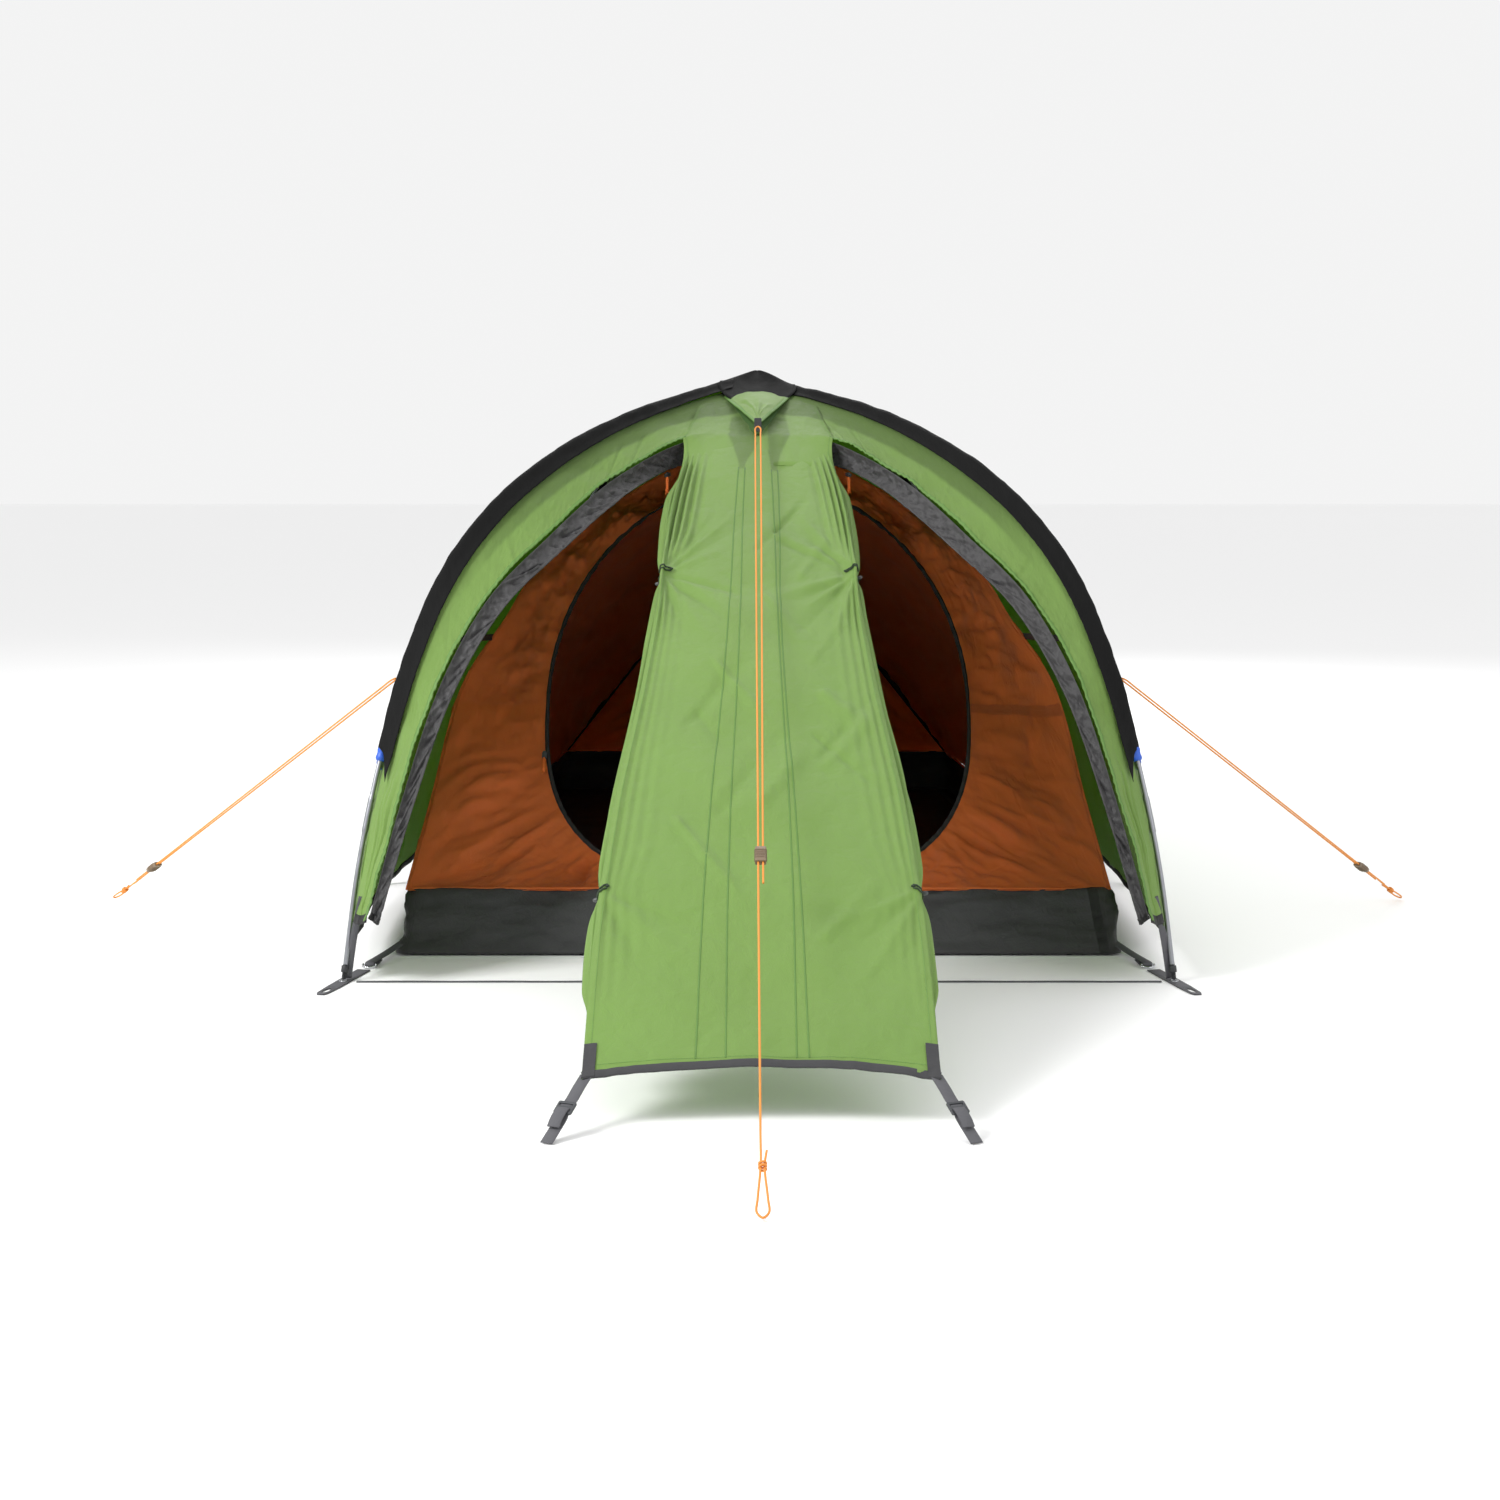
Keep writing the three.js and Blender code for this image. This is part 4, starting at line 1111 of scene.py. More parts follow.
def seamLine(name, made, spots, width, material, lift=0.0009, thick=0.0009, count=120):
    # a narrow tape laid on a cloth, through (u, v) spots
    line = through([(u, v, 0) for u, v in spots], count)
    path = onCloth(made, line[:, 0], line[:, 1], lift)
    across = np.cross(normalOn(made, line[:, 0], line[:, 1]), unit(np.gradient(path, axis=0)))
    return strap(name, path, width, thick, across, material)


stitchLines = {"fly": [], "dark": []}


def stitchAlong(made, spots, count=200, lift=0.0011):
    line = through([(u, v, 0) for u, v in spots], count)
    stitchLines["fly"].append(onCloth(made, line[:, 0], line[:, 1], lift))


def stitchDown(made, u, low, high, count=200):
    stitchAlong(made, [(u, low), (u, 0.5), (u, high)], count)


def stitchAcross(made, v, low, high):
    stitchAlong(made, [(low, v), (0.5, v), (high, v)])


def unitPlaces(made):
    # the u and v of each point of a cloth
    a, b = made.grid.shape[:2]
    return np.linspace(0, 1, a)[:, None], np.linspace(0, 1, b)[None, :]


def facing(crease, side):
    # a crease drawn for the right side, turned round for the left
    if side > 0:
        return crease
    return lambda u, v, width, length, grid: crease(1 - u, v, width, length, grid)


flyWall = {"creaseDepth": 0.0046, "pull": 0.009, "ripple": 0.0012}


def wallCrease(seed):
    def crease(u, v, width, length, grid):
        rng = random.Random(seed)
        half = width / 2
        folds = fanOf(rng, (-half, 0.0), 62, 46, 6, 0.62, 0.045, flyWall["pull"])
        folds += fanOf(rng, (half, 0.0), 118, 46, 6, 0.62, 0.045, flyWall["pull"])
        folds += fanOf(rng, (0, -0.03), 90, 120, 7, 0.4, 0.05, flyWall["pull"] * 0.8)
        height = foldLines(u, v, width, length, folds)
        height += roughen(grid, (5, 4, 6), flyWall["creaseDepth"] * 2, 2)
        height += roughen(grid, (24, 12, 30), flyWall["creaseDepth"] * 0.5, 3, True)
        fromEdge = np.minimum(u, 1 - u)
        ripple = flyWall["ripple"] * np.exp(-fromEdge * 26) * np.sin(v * length * 150 + 3 * u)
        return height * (0.15 + 0.85 * smoothstep(fromEdge, 0.02, 0.09)) + ripple

    return crease


madeWalls = {}
for hand, surface in (("right", rightWall), ("left", mirrored(rightWall))):
    made = cloth(f"flyWall_{hand}", surface, 110, 120, finishes.fly,
                 wallCrease(11 if hand == "right" else 12))
    declareSheet(made, "stretched", ["pole_b_front", "pole_a_rear"], "flysheet", f"fly_side_{hand}")
    madeWalls[hand] = made
made = cloth("flyWall_rear", rearWall, 100, 120, finishes.fly, wallCrease(13))
declareSheet(made, "stretched", ["pole_a_rear", "pole_b_rear"], "flysheet", "fly_rear")
madeWalls["rear"] = made
for where, made in madeWalls.items():
    settle(edgeTape(f"wallHem_{where}", made, "low", 0.014, 0.0026, finishes.blackTape), "webbing")
    for offset in (0.016, 0.022):
        stitchAcross(made, offset, 0.02, 0.98)
    settle(seamLine(f"wallSeam_{where}", made, [(0.5, 0.0), (0.5, 0.5), (0.5, 0.985)], 0.009,
                    finishes.seamTape),
           "flysheet")
    for off in (-0.008, 0.008):
        stitchDown(made, 0.5 + off, 0.01, 0.97)


def bandCrease(seed):
    def crease(u, v, width, length, grid):
        rng = random.Random(seed)
        folds = []
        for k in range(16):
            y = length * (0.06 + 0.9 * (k + rng.uniform(-0.3, 0.3)) / 16)
            turn = rng.uniform(-0.7, 0.7)
            folds.append((-width * 0.5, y, width * 0.35, y + 0.12 * turn, 0.012,
                          rng.uniform(-0.0022, 0.0026)))
        folds += fanOf(rng, (0.0, length), 268, 40, 6, 0.4, 0.02, 0.004)
        height = foldLines(u, v, width, length, folds)
        height += roughen(grid, (9, 9, 9), 0.006, 2)
        height += roughen(grid, (40, 26, 34), 0.0016, 3, True)
        pucker = np.exp(-u * 9) * np.sin(v * length * 330 + 2.2 * np.sin(v * 40))
        return height * (1 - 0.8 * smoothstep(u, 0.55, 0.8)) + 0.0011 * pucker

    return crease


madeBands = {}
for hand, side in sides.items():
    surface = bandSurface if side > 0 else mirrored(bandSurface)
    made = cloth(f"flyBand_{hand}", surface, 44, 300, finishes.fly, facing(bandCrease(21 + side), side))
    u, v = unitPlaces(made)
    u = u if side > 0 else 1 - u
    # painted shade: the band's upper part darkens towards the sleeve
    paintShade(made, smoothstep(u, 0.50, 0.60) * (1 - smoothstep(v, 0.42, 0.62)))
    declareSheet(made, "stretched", ["pole_b_front" if side > 0 else "pole_a_front"], "flysheet",
                 f"fly_band_{hand}")
    madeBands[hand] = made
    settle(edgeTape(f"bandHem_{hand}", made, "high", 0.016, 0.003, finishes.blackTape), "webbing")
    zipEdge = "first" if side > 0 else "last"
    settle(edgeTape(f"bandPiping_{hand}", made, zipEdge, 0.007, 0.0026, finishes.seamTape, 0.105, 1.0, 300),
           "flysheet")
    stitchDown(made, 0.045 if side > 0 else 0.955, 0.03, 0.99, 400)


def foldCrease(u, v, width, length, grid):
    return roughen(grid, (30, 30, 16), 0.003, 2)


# Behind each front pole, the fly folds round from the band to the wall below the sleeve
for hand, side in sides.items():
    wall, band = madeWalls[hand], madeBands[hand]
    v = np.linspace(0, 0.34, 60)
    edgeA = onCloth(wall, 0 * v + (0 if side > 0 else 1), v)
    bandEdge = onCloth(band, np.zeros(300) + (1 if side > 0 else 0), np.linspace(1, 0.5, 300))
    heights = np.maximum(edgeA[:, 2], bandEdge[0, 2])
    edgeB = np.stack([np.interp(heights, bandEdge[:, 2], bandEdge[:, k]) for k in range(3)], -1)
    grid = np.stack([edgeA + (edgeB - edgeA) * f for f in np.linspace(-0.02, 1.02, 10)])
    fold = gridCloth(f"flyFold_{hand}", grid if side > 0 else grid[::-1], finishes.fly, foldCrease)
    declareSheet(fold, "stretched", [band.piece, wall.piece], "flysheet")


panel = {
    "tieShares": (0.703, 0.213), "edgeFold": 0.0095, "softFold": 0.0065,
    "folds": (  # from the edge, breadth, share of the depth
        (0.010, 0.0045, 1.0), (0.024, 0.006, 0.8), (0.041, 0.0075, 0.55), (0.061, 0.009, 0.35)),
    "tapes": (
        ((0.375, 0.92), (0.355, 0.61), (0.33, 0.3), (0.315, 0.012)),
        ((0.415, 0.92), (0.41, 0.61), (0.40, 0.3), (0.40, 0.012)),
        ((0.585, 0.92), (0.59, 0.61), (0.60, 0.3), (0.60, 0.012)),
        ((0.625, 0.92), (0.605, 0.61), (0.62, 0.3), (0.635, 0.012))),
}


def panelCrease(u, v, width, length, grid):
    rng = random.Random(31)
    x = np.minimum(u, 1 - u) * width
    upperTie, lowerTie = panel["tieShares"]
    # long folds run down both edges and pinch together at the ties
    pinch = 1 - 0.62 * bump(v, upperTie, 0.055) - 0.25 * bump(v, lowerTie, 0.04)
    drift = 0.10 * np.sin(v * 9 + 4 * (u > 0.5))
    gathered = smoothstep(v, 0.56, 0.72) * (1 - smoothstep(v, 0.89, 0.965)) + 0.36 * smoothstep(v, 0.04, 0.2)
    folds = np.zeros_like(u)
    for k, (spot, breadth, rise) in enumerate(panel["folds"]):
        centre = spot * pinch * (1 + 0.25 * drift * (k + 1))
        folds += rise * (bump(x, centre, breadth) - 0.5 * bump(x, centre + breadth * 1.5, breadth))
    height = panel["edgeFold"] * folds * gathered
    half = width / 2
    upper, lower = upperTie * length, lowerTie * length
    soft = []
    for side in (-1, 1):
        edge = side * half
        heading = 0 if side < 0 else 180
        for spot, turn, *fan in (
                ((edge, upper), -50, 70, 6, 0.34, 0.016, 0.0042),
                ((edge, upper), 42, 40, 4, 0.3, 0.018, 0.0036),
                ((edge, lower), -55, 60, 4, 0.26, 0.016, 0.003),
                ((edge, 0.02), -48, 44, 5, 0.3, 0.018, 0.0042),
                ((edge * 0.62, length * 0.985), 40, 60, 5, 0.2, 0.010, 0.003)):
            soft += fanOf(rng, spot, heading - side * turn, *fan)
    for k in range(18):
        y = length * rng.uniform(0.1, 0.9)
        x0 = rng.uniform(-0.16, 0.12)
        slope = rng.uniform(0.6, 1.3) * rng.choice((-1, 1))
        reach = rng.uniform(0.12, 0.26)
        soft.append((x0, y, x0 + reach * 0.6, y + reach * slope, rng.uniform(0.012, 0.03),
                     panel["softFold"] * rng.uniform(-0.9, 0.9)))
    height += foldLines(u, v, width, length, soft)
    height += roughen(grid, (5, 4, 5), 0.008, 2) * np.sin(math.pi * u)
    return height + roughen(grid, (22, 16, 16), 0.0016, 3, True)


def shadePatches(u, v):
    # painted shade: two darker patches below the hood narrow downwards to the tape lines
    spread = smoothstep(v, 0.922, 0.99)
    soft = 0.006
    mask = 0
    for low, high in ((lerp(0.375, 0.315, spread), lerp(0.415, 0.50, spread)),
                      (lerp(0.585, 0.56, spread), lerp(0.625, 0.70, spread))):
        mask = mask + smoothstep(u, low - soft, low + soft) * (1 - smoothstep(u, high - soft, high + soft))
    return 0.8 * mask * smoothstep(v, 0.915, 0.922)


porch = cloth("porchPanel", panelSurface, 150, 300, finishes.fly, panelCrease)
# painted shade on the panel's top, below the hood
paintShade(porch, shadePatches(*unitPlaces(porch)))
hemTape = settle(edgeTape("porchHem", porch, "low", 0.014, 0.0036, finishes.binding), "webbing")
declareSheet(porch, "stretched", ["vent_hood"], "flysheet", "porch_panel", withPieces=[hemTape])
for k, spots in enumerate(panel["tapes"]):
    settle(seamLine(f"porchTape_{k}", porch, spots, 0.0026, finishes.seamTape, 0.0005), "flysheet")
for u in (0.02, 0.98):
    stitchDown(porch, u, 0.02, 0.98, 300)
stitchAcross(porch, 0.013, 0.02, 0.98)


def flapCrease(seed):
    def crease(u, v, width, length, grid):
        rng = random.Random(seed)
        folds = []
        for k in range(46):
            y = length * (k + rng.uniform(-0.4, 0.4)) / 46
            x0 = -width * rng.uniform(0.3, 0.6)
            lean = rng.uniform(0.02, 0.09)
            folds.append((x0, y, width * rng.uniform(0.1, 0.5), y + lean, rng.uniform(0.003, 0.007),
                          rng.uniform(0.002, 0.0055) * rng.choice((-1, 1, 1))))
        height = foldLines(u, v, width, length, folds)
        height += roughen(grid, (34, 30, 34), 0.007, 3, True)
        height += roughen(grid, (90, 70, 90), 0.0022, 2, True)
        return height * (0.25 + 0.75 * smoothstep(1 - u, 0, 0.25)) + 0.004 * np.sin(math.pi * u)

    return crease


def longFlap(u, v):
    # the flap's upper end tucks under the panel
    return flapSurface(u, lerp(-0.045, 1.0, v))


for hand, side in sides.items():
    surface = longFlap if side > 0 else mirrored(longFlap)
    made = cloth(f"stormFlap_{hand}", surface, 26, 380, finishes.flap, facing(flapCrease(41 + side), side))
    declareSheet(made, "hung", [madeBands[hand].piece], "storm_flap", f"storm_flap_{hand}")
    settle(edgeTape(f"flapHem_{hand}", made, "first" if side > 0 else "last", 0.005, 0.0022, finishes.flap,
                    count=320),
           "storm_flap")
    settle(edgeTape(f"flapFoot_{hand}", made, "high", 0.012, 0.003, finishes.blackTape, count=20), "webbing")

# The panel carries on above the zips, over the bands, to the crown
panelTop = {"zipShare": 0.108, "below": -0.14, "reach": 0.80, "lift": 0.0034}


def panelTopSurface(u, v):
    side = np.where(u < 0.5, -1.0, 1.0)
    reach = lerp(panelTop["below"], panelTop["reach"], v)
    onBand = bandSurface(reach, np.abs(2 * u - 1) * panelTop["zipShare"]) * stacked(side, 1, 1)
    onBand = onBand + stacked(0, -0.4 * panelTop["lift"], panelTop["lift"])
    onPanel = panelSurface(u, 0.93 + 0.5 * v) + (0, -0.0003, 0.0003)
    return lerp(onPanel, onBand, smoothstep(v, 0, 0.14)[..., None])


def panelTopCrease(u, v, width, length, grid):
    edge = np.exp(-np.minimum(u, 1 - u) * 30)
    return roughen(grid, (26, 18, 18), 0.0022, 3) + 0.0010 * edge * np.sin(v * length * 320)


madePanelTop = cloth("porchPanelTop", panelTopSurface, 120, 60, finishes.fly, panelTopCrease)
u, v = unitPlaces(madePanelTop)
# painted shade: darker towards the sleeves, with the panel's patches of painted shade carried on below
darker = smoothstep(v, 0.60, 0.66) + shadePatches(u, 0.93 + 0.5 * v) * (1 - smoothstep(v, 0.5, 0.6))
paintShade(madePanelTop, np.clip(darker, 0, 1))
declareSheet(madePanelTop, "stretched", [madeBands["left"].piece, madeBands["right"].piece], "flysheet")
for u in (0.025, 0.975):
    stitchDown(madePanelTop, u, 0.02, 0.97, 100)

# Elastic ties hold the panel's gathered edges; reach is how far each runs in, as a share of the width
panelTie = {"radius": 0.0013, "knotRadius": 0.0024, "reach": (0.05, 0.022)}
for hand, side in sides.items():
    for k, tie in enumerate(panel["tieShares"]):
        s = np.linspace(0, 1, 30)
        across = 0.5 + side * (0.5 - panelTie["reach"][k] * s)
        for off in (-0.0022, 0.0022):
            path = onCloth(porch, across, tie + off + 0.004 * s, 0.0022)
            name = f"panelTie_{hand}_{k}{'a' if off < 0 else 'b'}"
            settle(tube(name, path, panelTie["radius"], finishes.elastic, 8), "webbing")
        knot = onCloth(porch, 0.5 + side * (0.5 - panelTie["reach"][k]), tie + 0.004, 0.003)
        ends = [knot - (0.003, 0, 0), knot, knot + (0.003, 0, 0)]
        radii = [panelTie["radius"], panelTie["knotRadius"], panelTie["radius"]]
        settle(tube(f"panelTieKnot_{hand}_{k}", ends, radii, finishes.elastic, 10), "webbing")

# Porch doors, gathered and rolled behind the panel's edges
doorRoll = {
    "radius": 0.015, "from": 0.07, "to": 0.915, "folds": 7, "pinch": 0.45,
    "tieReach": (0.0155, 0.0175), "tieRadius": 0.0014, "tieGap": 0.0018,
    "toggle": ((0, 0, 0.0018), (0.002, 0.001, 0.0031), (0.008, 0.003, 0.0031), (0.010, 0.004, 0.0018)),
}


def makeDoorRoll(hand, side):
    v = np.linspace(doorRoll["from"], doorRoll["to"], 220)
    path = panelLine(v)
    outset = -0.007 + 0.005 * smoothstep(v, 0.74, 0.86) - 0.012 * smoothstep(v, 0.86, 0.92)
    path[:, 0] = side * (halfPanel(v) + outset)
    path[:, 1] += doorRoll["radius"] + 0.009
    path[:, 2] -= doorRoll["radius"] - 0.004
    pinch = 1 - doorRoll["pinch"] * sum(bump(v, tie, 0.02) for tie in panel["tieShares"])
    taper = smoothstep(v, doorRoll["from"], doorRoll["from"] + 0.03) * 0.5 + 0.5
    twist = 2.4 * np.sin(v * 7 + side)[:, None]

    def lobesAt(turn):
        deep = 0.20 * np.cos(doorRoll["folds"] * turn + twist) + 0.10 * np.cos(3 * turn - 1.7 * twist)
        return deep + 0.06 * np.cos(11 * turn + 5 * v[:, None])

    piece = rolledCloth(f"doorRoll_{hand}", path, (side, 0, 0), doorRoll["radius"], 44, pinch * taper,
                        lobesAt, finishes.fly)
    settle(piece, "flysheet", f"door_roll_{hand}")
    for k, tie in enumerate(panel["tieShares"]):
        spot = np.array([np.interp(tie, v, path[:, axis]) for axis in range(3)])
        spot[0] -= side * 0.004
        along = unit(panelLine(tie + 0.02) - panelLine(tie - 0.02))
        across, third = np.array([side, 0, 0]), np.cross(along, (side, 0, 0))
        loop = ringAt(spot, across, third, *doorRoll["tieReach"], 40)
        loops = [tube(f"tie{sign}", loop + along * sign * doorRoll["tieGap"], doorRoll["tieRadius"],
                      finishes.elastic, 8, True) for sign in (-1, 1)]
        settle(joined(f"doorTie_{hand}_{k}", loops), "webbing")
        outer = spot + across * 0.018 - third * 0.004
        ends = [outer + across * (step - 0.006) - third * drop for step, drop, radius in doorRoll["toggle"]]
        radii = [radius for step, drop, radius in doorRoll["toggle"]]
        settle(tube(f"doorToggle_{hand}_{k}", ends, radii, finishes.toggle, 16), "buckle")


for hand, side in sides.items():
    makeDoorRoll(hand, side)

# Vent hood over the crossing, the tab that the front guy line pulls, and the gussets under it, toned dark as
# painted shade from the hood
hood = {
    "tip": place(0, 0.655, 0.945), "back": place(0, 0.868, 0.999), "half": 0.068, "tipHalf": 0.006,
    "swell": 0.010, "backBow": (0.022, 0.008), "tab": (0.007, 0.013, 0.0036),
}


def hoodSurface(u, v):
    arch = np.sin(math.pi * u)
    front = hood["tip"] + stacked((2 * u - 1) * hood["tipHalf"], 0, 0)
    bowY, bowZ = hood["backBow"]
    back = hood["back"] + stacked((2 * u - 1) * hood["half"], bowY * arch, bowZ * arch)
    return front + along3(v, back - front) + stacked(0, 0, hood["swell"] * np.sin(math.pi * v) * arch)


def hoodCrease(u, v, width, length, grid):
    rng = random.Random(51)
    folds = fanOf(rng, (0.0, 0.0), 90, 46, 6, 0.2, 0.012, 0.0022)
    return foldLines(u, v, width, length, folds) + roughen(grid, (30, 20, 20), 0.002, 2)


madeHood = cloth("ventHood", hoodSurface, 48, 70, finishes.fly, hoodCrease)
declareSheet(madeHood, "stretched", ["vent_tab"], "flysheet", "vent_hood")
for hand, edge in (("left", "first"), ("right", "last")):
    settle(edgeTape(f"hoodEdge_{hand}", madeHood, edge, 0.006, 0.0024, finishes.seamTape, count=60),
           "flysheet")
    stitchDown(madeHood, 0.06 if hand == "left" else 0.94, 0.06, 0.97, 60)
for hand, side in sides.items():
    rim = onCloth(madeHood, np.full(30, 0.0 if side < 0 else 1.0), np.linspace(0.03, 0.99, 30), -0.003)
    low = panelSurface(0.5, 1.0) + (side * 0.003, -0.006, 0.004)
    foot = lerp(low, rim[-1] + (side * 0.004, 0, -0.006), np.linspace(0, 1, 30)[:, None])
    foot = foot - stacked(0, 0, 0.006 * np.sin(np.linspace(0, math.pi, 30)))
    grid = np.stack([lerp(foot, rim, f) for f in np.linspace(0, 1, 14)])
    grid = grid - stacked(side * 0.008 * np.sin(np.linspace(0, math.pi, 14))[:, None], 0, 0)
    # the gussets' dark tone is painted shade from the hood over a mesh vent
    gusset = gridCloth(f"hoodGusset_{hand}", grid if side > 0 else grid[::-1], finishes.ventMeshShade)
    declareSheet(gusset, "hung", [madeHood.piece, porch.piece], "flysheet")
tabHalf, tabDrop, tabDepth = hood["tab"]
tab = cutPlate("ventTab", [roundedBox(tabHalf, tabDrop, 0.002)], tabDepth, 0.0008,
               basis((1, 0, 0), (0, 0, 1), (0, -1, 0), hood["tip"] + (0, -0.007, -0.006)), finishes.binding)
settle(tab, "tab", "vent_tab")
print("flysheet made")


# Inner tent

doorway = {"half": 0.395, "middle": 0.42, "up": 0.41, "down": 0.308, "squareness": 2.8,
           "tape": (0.008, 0.0026)}


def doorRim(turn):
    # the oval of the inner door, from its middle; the lower half is a little squarer
    c, s = np.cos(turn), np.sin(turn)
    power = np.where(s > 0, 1.0, 2 / doorway["squareness"])
    tall = np.where(s > 0, doorway["up"], doorway["down"])
    return doorway["half"] * np.sign(c) * np.abs(c) ** power, tall * np.sign(s) * np.abs(s) ** power


def frontRim(turn):
    # where a ray from the doorway's middle meets the seams round the inner front
    right = frontOutline.at(np.linspace(0, 1, 300))[:, [0, 2]]
    sill = np.stack([np.linspace(-0.632, 0.632, 200)[1:-1], np.full(198, 0.104)], -1)
    outline = np.concatenate([right, right[::-1] * (-1, 1), sill]) - (0, doorway["middle"])
    angles = np.arctan2(outline[:, 1], outline[:, 0]) % (2 * math.pi)
    order = np.argsort(angles)
    reach = np.interp(turn % (2 * math.pi), angles[order], np.linalg.norm(outline[order], axis=1),
                      period=2 * math.pi)
    return reach * np.cos(turn), reach * np.sin(turn)


def innerFrontSurface(u, v):
    # u runs round the doorway, v from its rim to the seams
    turn = 2 * math.pi * u
    x, z = doorRim(turn)
    angle = np.arctan2(z, x)
    farX, farZ = frontRim(angle)
    spotX, spotZ = lerp(x, farX, v), lerp(z, farZ, v) + doorway["middle"]
    return stacked(spotX, innerFrontY(spotZ) - 0.002, spotZ)


def innerFrontCrease(u, v, width, length, grid):
    # drag wrinkles run from the zip out to the seams
    turn = 2 * math.pi * u
    rays = np.stack([np.cos(turn) * 3.4, np.sin(turn) * 3.4, v * 0.7], -1)
    fine = np.stack([np.cos(turn) * 13, np.sin(turn) * 13, v * 1.6], -1)
    both = np.sin(math.pi * np.clip(v, 0, 1)) ** 0.7
    height = roughen(rays, (1, 1, 1), 0.030, 2) * both + roughen(fine, (1, 1, 1), 0.020, 3, True) * both
    height += roughen(grid, (7, 7, 7), 0.008, 2) * both
    crimp = np.exp(-v * 16) + np.exp(-(1 - v) * 22)
    return height + 0.0013 * crimp * np.sin(turn * 92 + 3 * np.sin(turn * 7))


innerFront = cloth("innerFront", innerFrontSurface, 420, 44, finishes.inner, innerFrontCrease, ring=True,
                   flat=(1.264, 0.83))
declareSheet(innerFront, "stretched", ["groundsheet"], "inner_fabric", "inner_front")


rim, afterRim = innerFront.grid[:, 0], innerFront.grid[:, 1]
settle(strap("innerZipTape", rim, *doorway["tape"], afterRim - rim, finishes.blackTape, True), "webbing")
stitchLines["teeth"] = [np.concatenate([rim, rim[:1]]) + (0, -0.00176, 0.00132)]  # just off the tape's face


def sideCrease(seed):
    def crease(u, v, width, length, grid):
        rng = random.Random(seed)
        folds = fanOf(rng, (-width / 2, 0.0), 50, 70, 7, 0.5, 0.03, 0.008)
        folds += fanOf(rng, (width / 2, 0.0), 130, 60, 6, 0.5, 0.03, 0.008)
        edge = np.exp(-np.minimum(np.minimum(u, 1 - u), v) * 30)
        height = foldLines(u, v, width, length, folds) + roughen(grid, (6, 4, 6), 0.012, 3)
        return height + 0.0012 * edge * np.sin((u * width + v * length) * 260)

    return crease


madeInner = {}
for hand, surface in (("right", innerSideSurface), ("left", mirrored(innerSideSurface))):
    made = cloth(f"innerSide_{hand}", surface, 90, 70, finishes.inner,
                 sideCrease(61 if hand == "right" else 62))
    declareSheet(made, "stretched", ["groundsheet"], "inner_fabric", f"inner_{hand}")
    madeInner[hand] = made
madeInner["rear"] = cloth("innerRear", innerRearSurface, 60, 60, finishes.inner, sideCrease(63))
declareSheet(madeInner["rear"], "stretched", ["groundsheet"], "inner_fabric", "inner_rear")
ridge = np.stack([lerp(onCloth(madeInner["left"], np.linspace(1, 0, 60), np.full(60, 1.0)),
                       onCloth(madeInner["right"], np.linspace(0, 1, 60), np.full(60, 1.0)), f)
                  for f in np.linspace(-0.12, 1.12, 8)]) + (0, 0, 0.0018)
madeRidge = gridCloth("innerRidge", ridge, finishes.inner)
declareSheet(madeRidge, "stretched", ["innerSide_left", "innerSide_right"], "inner_fabric")
for hand, side in sides.items():
    v = np.linspace(0, 1, 120)
    front = frontEdge(v) * (side, 1, 1) + (side * 0.001, 0.002, 0.001)
    back = (rearCorner + along3(lerp(-0.03, 0.97, v), ridgeRear - rearCorner)) * (side, 1, 1)
    back = back + (side * -0.002, -0.001, 0)
    settle(tube(f"innerSeam_{hand}_front", front, 0.0026, finishes.inner, 8), "inner_fabric")
    settle(tube(f"innerSeam_{hand}_rear", back, 0.0066, finishes.blackTape, 12), "webbing")
    # black seam tapes climb the rear wall from its corners to the ridge
    spots = [(0.5 - side * 0.46, 0.03), (0.5 - side * 0.2, 0.32), (0.5, 0.93)]
    settle(seamLine(f"innerBrace_{hand}", madeInner["rear"], spots, 0.008, finishes.blackTape, 0.0022),
           "webbing")

# Groundsheet: a floor with a leaning bucket wall
bucket = {"corner": 0.024, "inset": 0.035, "floorInset": 0.02, "rim": 0.1075, "floorHeight": 0.0024,
          "cut": 0.15}


def bucketOutline(height, inset):
    narrowing = 0.16 * height + inset
    wideFront, wideRear = floorFrontHalf - narrowing, floorRearHalf - narrowing
    front = frontY + wallLean * height + inset
    rear = rearY - 0.4 * height - inset
    corners = np.array([(wideFront, front), (wideRear, rear), (-wideRear, rear), (-wideFront, front)])
    points = []
    radius = bucket["corner"] * (1 - inset * 8)
    for k, corner in enumerate(corners):
        before, after = corners[k - 1], corners[(k + 1) % 4]
        a = corner + unit(before - corner) * radius
        b = corner + unit(after - corner) * radius
        s = np.linspace(0, 1, 12)[:, None]
        points.append((1 - s) ** 2 * a + 2 * s * (1 - s) * corner + s**2 * b)
        c = after + unit(corner - after) * radius
        points.append(b + (c - b) * np.linspace(0, 1, 72)[1:-1, None])
    return np.concatenate(points)


levels = [(0.0036, bucket["inset"]), (0.0030, 0.016), (0.0028, 0.004), (0.004, 0.0), *(
    (height, 0.0) for height in np.linspace(0.008, bucket["rim"], 22))]
rows = []
for height, inset in levels:
    outline = bucketOutline(height, inset)
    rows.append(np.concatenate([outline, np.full((len(outline), 1), height)], 1))
bucketGrid = np.stack(rows, 1)


def bucketCrease(u, v, width, length, grid):
    wall = smoothstep(grid[..., 2], 0.006, 0.03)
    coarse = roughen(grid, (7, 7, 16), 0.012, 2)
    fine = roughen(grid, (22, 22, 44), 0.006, 3, True)
    top = np.exp(-(bucket["rim"] - grid[..., 2]) * 130)
    return wall * (coarse + fine) * (1 - 0.7 * top) + 0.0008 * top * np.sin(u * width * 300)


